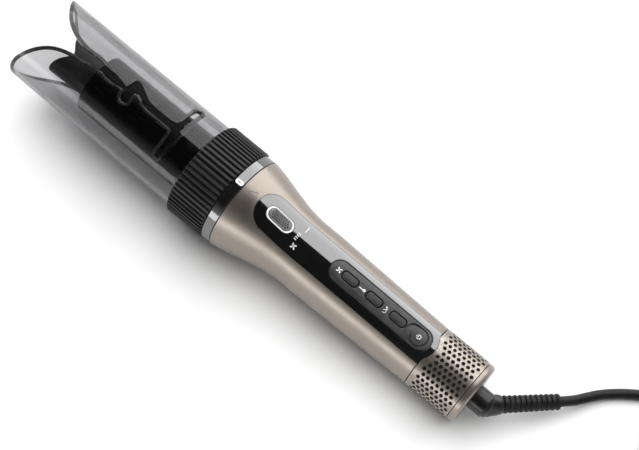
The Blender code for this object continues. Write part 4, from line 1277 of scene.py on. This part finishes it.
def make_marks():
    """Printed legends and icons, and the engraved pointer beside the band."""
    ticks = [[(x, y + 0.3), (x + 0.55, y)] for y in (2.4, 1.1, -0.2, -1.5) for x in (130.6, 131.5)]
    stroke = [[(129.6, -4.4), (129.6, -5.6), (129.6, -6.8), (129.6, -8.0), (130.1, -8.3)]]
    for name, lines, width in (("legend_fan", fan_icon(129.4, 6.2, 1.5), 0.62),
                               ("legend_heat", ticks, 0.42), ("legend_cool", stroke, 0.32)):
        print_lines(name, lines, width, on_handle, 0.06, 0.13)

    stem = [[(83.0, 0), (84.8, 0)], [(84.8, 0), (86.1, 0)]]
    loop = [arc((66.9, 1.35), 0.95, 60, 340)]
    print_lines("icon_speed", fan_icon(100.9, 0, 1.45), 0.6, on_bezel, -0.02, 0.04)
    print_lines("icon_heat_stem", stem, 0.55, on_bezel, -0.02, 0.04)
    print_dots("icon_heat_bulb", [(82.8, -0.1)], 0.85)
    print_lines("icon_direction", loop, 0.3, on_bezel, -0.02, 0.04)
    print_dots("icon_direction_dots", [(67.2, -1.25), (66.5, -0.35)], 0.45)
    x = SLIDER_STATION
    power = [arc((x, 0), 1.15, 40, 320, 16), [(x + 0.3, 0), (x + 1.5, 0)]]
    print_lines("icon_power", power, 0.42, on_slider, -0.02, 0.05, body="power_knob")

    tip, left, right = (167.6, 0.3), (163.2, -2.6), (163.0, 2.0)
    print_lines("pointer_edge", [[tip, left]], 0.34, on_handle, -0.1, 0.03, "engraving")
    print_lines("pointer_sides", [[tip, right], [left, right]], 0.14, on_handle, -0.1, 0.02,
                "engraving")


# ---------------------------------------------------------------- rear end

def make_sleeve():
    """Perforated sleeve: staggered rows of round holes, all but under the panel's tail."""
    radius = SLEEVE_RADIUS
    unit = 20.0
    rows, pitch = 38, 3.3
    hole = 2.35 / 2
    front_land, tail_land = 2.6, 2.0           # unpierced strips at the front and by the panel
    width = math.pi * unit
    edge = PANEL_HALF_WIDTH + GAP
    notch = sorted(((x, unit * math.asin(y / radius)) for x, y in panel_outline(GAP)
                    if x < SLEEVE_FRONT and abs(y) < edge + 0.001), key=lambda p: p[1])
    loops = [spread([(SLEEVE_REAR, width), (SLEEVE_REAR, -width), (SLEEVE_FRONT, -width), *notch,
                     (SLEEVE_FRONT, width)], 6.0)]
    for row in range(rows):
        arc_here = (row + 0.5) * 2 * width / rows - width
        shift = pitch / 2 if row % 2 else 0.0
        near_panel = abs(arc_here) < unit * math.asin(edge / radius) + hole + 0.6
        tail = tail_station(radius * math.sin(arc_here / unit)) - tail_land
        limit = min(SLEEVE_FRONT - front_land, tail if near_panel else SLEEVE_FRONT)
        for k in range(8):
            x = SLEEVE_REAR + 2.3 + shift + k * pitch
            if x + hole <= limit:
                across = hole * unit / radius
                loops.append([(x + hole * math.cos(a), arc_here + across * math.sin(a))
                              for a in full_turn(16)])
    bm = wrapped(loops, radius, SLEEVE_WALL, math.radians(4.5), 0.0, unit)
    solid("inlet_cover", bm, "champagne", "cage", ["inlet_sleeve"], slope=flat_slope)

    gauze = lathe([(30.5, 17.8), (5.0, 17.8), (5.0, 17.2), (30.5, 17.2)], 96, 0.1)
    solid("inlet_gauze", gauze, "filter_mesh", "cage", ["inlet_filter"])
    cap = lathe([(4.25, 19.5), (2.4, 19.5), (1.3, 19.25), (0.5, 18.6), (0.1, 17.7), (0, 16.6),
                 (0, 8.1), (4.25, 8.1)], 120, 0.35)
    solid("rear_cap", cap, "champagne", "cage", ["end_cap"], 40)


def make_swivel():
    """Swivel block with its angled outlet, and the ribbed strain relief that leaves it."""
    block = lathe([(10.5, 0.0), (10.5, 9.0), (8.7, 9.0), (8.7, 6.1), (4.3, 6.1), (4.3, 7.5),
                   (-9.0, 7.5), (-11.6, 6.2), (-13.2, 3.6), (-13.2, 0.0)], 64, 0.45)
    aim = relief_direction().to_track_quat('Z', 'Y').to_matrix().to_4x4()
    outlet = Matrix.Translation((RELIEF_ROOT, 0, 0)) @ aim
    boss = turned_up([(0, 6.4), (6.5, 5.9), (8.2, 5.5), (8.8, 5.1), (RELIEF_BOSS, 4.7)], True, 40)
    boss.transform(outlet)
    bm = bevelled(carved(block, ('UNION', boss)), 0.25, 2, 35)
    solid("swivel_body", bm, "satin_black", "swivel", ["swivel_block"], 40)

    start = RELIEF_BOSS + GAP
    pitch = RELIEF_LENGTH / RELIEF_RIBS
    section = [(start, 4.1)]
    for rib in range(RELIEF_RIBS):
        crest = 5.1 - 0.5 * rib / RELIEF_RIBS
        valley = crest - 0.9
        base = start + rib * pitch
        section += [(base + pitch * 0.12, valley), (base + pitch * 0.22, crest - 0.25),
                    (base + pitch * 0.34, crest), (base + pitch * 0.68, crest),
                    (base + pitch * 0.8, crest - 0.25), (base + pitch * 0.9, valley)]
    section += [(start + RELIEF_LENGTH - 0.1, 3.7), (start + RELIEF_LENGTH, 3.4)]
    relief = turned_up(section, True, 36)
    relief.transform(outlet)
    solid("ribbed_relief", relief, "cord_rubber", "swivel", ["strain_relief"], 50)


# ---------------------------------------------------------------- styling head

def make_band():
    """Glossy band with its spigot, three bayonet lugs and the lock mark."""
    section = [(200.0, 26.0), (BAND_FRONT, 26.0), (BAND_FRONT, BAND_RADIUS),
               (BAND_REAR, BAND_RADIUS), (BAND_REAR, 18.6), (163.6, 18.6), (163.6, 17.0),
               (BAND_FRONT, 17.0), (BAND_FRONT, 24.6), (200.0, 24.6)]
    bm = lathe(section, 160, 0.45, segments=5)
    for k in range(3):
        lug = box_shape((-1.5, -2.4, 18.3), (1.5, 2.4, 19.0))
        lug.transform(Matrix.Rotation(2 * math.pi * k / 3, 4, 'X')
                      @ Matrix.Translation((166.5, 0, 0)))
        merge(bm, lug)
    solid("gloss_band", bm, "gloss_black", "head", ["base_band"], 40, slope=flat_slope)
    on_band = on_round(BAND_RADIUS)
    pill = patch(stadium(5.3, 3.0, (174.9, 0)), on_band, -0.05, 0.08)
    piece("lock_mark", finish_mesh("pill", place(pill), 40), "white", "head")
    print_lines("lock_slot", [[(173.8, 0), (176.0, 0)]], 0.5, on_band, 0.05, 0.1, "bezel_grey",
                "head")


def make_collar():
    """Soft grip collar: narrow round-topped ribs over broad grooves, closed by smooth ends."""
    root = COLLAR_RADIUS - 1.3
    per_rib = ((-0.38, 0.0), (-0.31, 0.06), (-0.25, 0.5), (-0.18, 0.86), (-0.08, 1.0), (0.08, 1.0),
               (0.18, 0.86), (0.25, 0.5), (0.31, 0.06), (0.38, 0.0))
    profile = []
    for rib in range(COLLAR_RIBS):
        for shift, share in per_rib:
            profile.append(((rib + shift) * 2 * math.pi / COLLAR_RIBS,
                            root + share * (COLLAR_RADIUS - root)))
    stations = [(0.0, -1.5), (0.15, -0.95), (0.45, -0.4), (0.9, 0.0), (2.0, 0.0)]
    stations = [(COLLAR_REAR + s, COLLAR_RADIUS + drop) for s, drop in stations]
    stations += [(COLLAR_REAR + COLLAR_FRONT - s, r) for s, r in reversed(stations)]
    bm = bmesh.new()
    rings = [[bm.verts.new(round_axis(station, min(r, limit), a)) for a, r in profile]
             for station, limit in stations]
    bore = 28.8
    rings += [[bm.verts.new(round_axis(station, bore, a)) for a, r in profile]
              for station in (COLLAR_FRONT - 0.3, COLLAR_REAR + 0.3)]
    bridge(bm, rings, closed=True)
    solid("grip_sleeve", bm, "collar_black", "head", ["grip_collar"], 30)


# Distance behind the front of the shroud, and half the opening there
MOUTH = ((0.69, TUBE_RADIUS), (0.8, 28.2), (1.6, 26.4), (3.2, 24.0), (5.0, 21.8), (9.0, 17.1),
         (13.5, 12.6), (18.5, 8.8), (24.5, 5.9), (31.0, 4.1), (36.5, 3.3))
SLOT = (
    # the -Y edge, from the mouth back to the cross slot
    (295.0, -3.4), (286.0, -3.9), (280.0, -3.2), (272.0, -3.1), (266.0, -2.0),
    (262.3, -0.9), (260.8, -9.0), (258.2, -8.9), (248.0, -3.8), (245.0, -2.8),
    (229.5, -2.7), (226.2, -3.4), (224.6, -5.2), (224.3, -8.0),
    # round the cross slot
    (224.3, -19.0), (223.5, -20.4), (221.9, -20.4), (221.1, -19.0),
    (221.1, 17.2), (221.9, 18.6), (223.5, 18.6), (224.3, 17.2),
    # the +Y edge, forward again
    (224.3, 4.4), (224.9, 2.3), (226.8, 1.2), (244.0, 1.1), (248.5, 0.2),
    (252.0, -1.7), (254.5, -2.0), (256.4, -0.4), (257.0, 2.1), (255.4, 4.6),
    (256.2, 6.6), (258.5, 7.2), (260.9, 6.3), (261.9, 3.2), (262.1, 0.3),
    (266.0, 1.2), (270.0, 2.0), (275.0, 1.7), (280.0, 1.0), (286.0, 2.2), (295.0, 3.4),
)


def mouth_edge():
    """The mouth's curve from the lobe inwards: (station, half width)."""
    points = catmull_rom([(TUBE_FRONT - 0.1 - depth, half, 0) for depth, half in MOUTH], 5)
    return [(p.x, min(p.y, TUBE_RADIUS)) for p in points]


def make_shroud():
    """Clear shroud: V mouth above and below, and the barbed hair slot along its top."""
    unit = TUBE_RADIUS
    half_turn = math.pi * unit
    edge = mouth_edge()
    # soften() closes the loop across the mouth, so the curves at its two ends are left off
    slot = [tuple(p) for p in soften([Vector(p) for p in reversed(SLOT)], 1.6, 5)][3:-3]

    def arc_at(y):
        return unit * math.asin(max(-1.0, min(1.0, y / TUBE_RADIUS)))

    top = [(x, arc_at(y)) for x, y in edge[:-1]]
    top += [(x, arc_at(y)) for x, y in slot]
    top += [(x, -arc_at(y)) for x, y in reversed(edge[:-1])]
    below = [(x, half_turn - arc_at(y)) for x, y in edge[1:]]
    below += [(281.5, half_turn - 1.9), (280.6, half_turn - 1.0), (280.3, half_turn)]
    outline = top + [(x, -y) for x, y in below]
    outline += [(TUBE_REAR, -half_turn), (TUBE_REAR, half_turn)] + list(reversed(below))
    inner = inset([Vector(p) for p in outline], TUBE_WALL / 2 + 0.08, False)
    rear = len(top) + len(below)
    rim = edge_bead(thinned(inner[rear + 2:] + inner[:rear], 0.7), unit, TUBE_WALL / 2 + 0.02)
    # the rim bead is near black: painted shade for the dark edge of the clear wall
    solid("shroud_rim", rim, "rim_painted_dark", "head", sharp=50)
    bm = wrapped([spread(outline, 5.0)], TUBE_RADIUS, TUBE_WALL, math.radians(3), 0.03, unit)
    solid("clear_shroud", bm, "smoke_clear", "head", ["shroud_tube"], 50, slope=flat_slope)


def edge_bead(outline, unit, radius):
    """A rod along a flat outline of (station, arc), in the middle of the shroud's wall."""
    middle = TUBE_RADIUS - TUBE_WALL / 2
    return swept([round_axis(x, middle, y / unit) for x, y in outline], radius, 12)


def make_barrel():
    """Heated barrel, the insulated tip with its notch, and the ring of vanes round the rear end."""
    barrel = lathe([(BARREL_FRONT, BARREL_RADIUS), (182.0, BARREL_RADIUS), (182.0, 17.4),
                    (283.0, 17.4), (283.0, 9.6), (BARREL_FRONT, 9.6)], 128, 0.7, segments=5)
    solid("heated_barrel", barrel, "barrel_black", "head", ["barrel"], 40, slope=flat_slope)

    near = [(320.0, 16.0), (314.6, 13.4), (313.3, 11.6), (311.8, 9.2), (309.9, 6.6), (307.6, 4.0),
            (305.7, 1.8), (304.9, 0.0)]
    notch = catmull_rom([(x, y, 0) for x, y in near], 4)
    notch = [p.xy for p in notch] + [Vector((p.x, -p.y)) for p in reversed(notch[:-1])]
    nose = [(TIP_FRONT, 0.0), (TIP_FRONT, TIP_RADIUS), (BARREL_FRONT + GAP, TIP_RADIUS - 1.0),
            (BARREL_FRONT + GAP, 9.2), (279.0, 9.2), (279.0, 0.0)]
    tip = carved(lathe(nose, 96, 0.9, segments=5), ('DIFFERENCE', prism(notch, -40, 40)))
    solid("insulated_tip", bevelled(tip, 0.3, 2, 40), "tip_grey", "head", ["cool_tip"], 40)

    ring = lathe([(196.0, 20.4), (184.5, 20.4), (184.5, 19.3), (196.0, 19.3)], 96, 0.3)
    for k in range(12):
        vane = box_shape((-4.6, -0.5, 20.0), (4.6, 0.5, 24.0))
        bevelled(vane, 0.2, 2)
        vane.transform(Matrix.Translation((190.2, 0, 0))
                       @ Matrix.Rotation(2 * math.pi * k / 12, 4, 'X')
                       @ Matrix.Rotation(math.radians(30), 4, 'Z'))
        merge(ring, vane)
    solid("swirl_vanes", ring, "satin_black", "head", ["vane_ring"])


# ---------------------------------------------------------------- inside the handle

FOURS = {name: [f"{name}_{k}" for k in (1, 2, 3, 4)]
         for name in ("shell_screw", "board_screw", "tactile_switch")}
INSIDE = {
    "steel": (*FOURS["shell_screw"], *FOURS["board_screw"], "slide_switch", "motor_can",
              "motor_shaft", "thermal_fuse"),
    "copper": ("heater_coil",),
    "board_green": ("circuit_board",),
    "satin_black": (*FOURS["tactile_switch"], "rear_motor_mount", "front_motor_mount"),
    "nylon_grey": ("fan_housing", "impeller", "outlet_grille", "tail_frame", "bayonet_ring"),
    "mica": ("heater_sleeve", "heater_frame"),
}


def finish_inside():
    """The parts that stay as they are in the CAD model take their finish here."""
    for look, nodes in INSIDE.items():
        for node in nodes:
            materials = frame["nodes"][node].data.materials
            materials.clear()
            materials.append(LOOKS[look])


for make in (make_camera, make_cord, make_stage, make_shells, make_panel, make_bezel, make_keys,
             make_slider, make_thumb_control, make_trim, make_marks, make_sleeve, make_swivel,
             make_band, make_collar, make_shroud, make_barrel):
    make()
finish_inside()
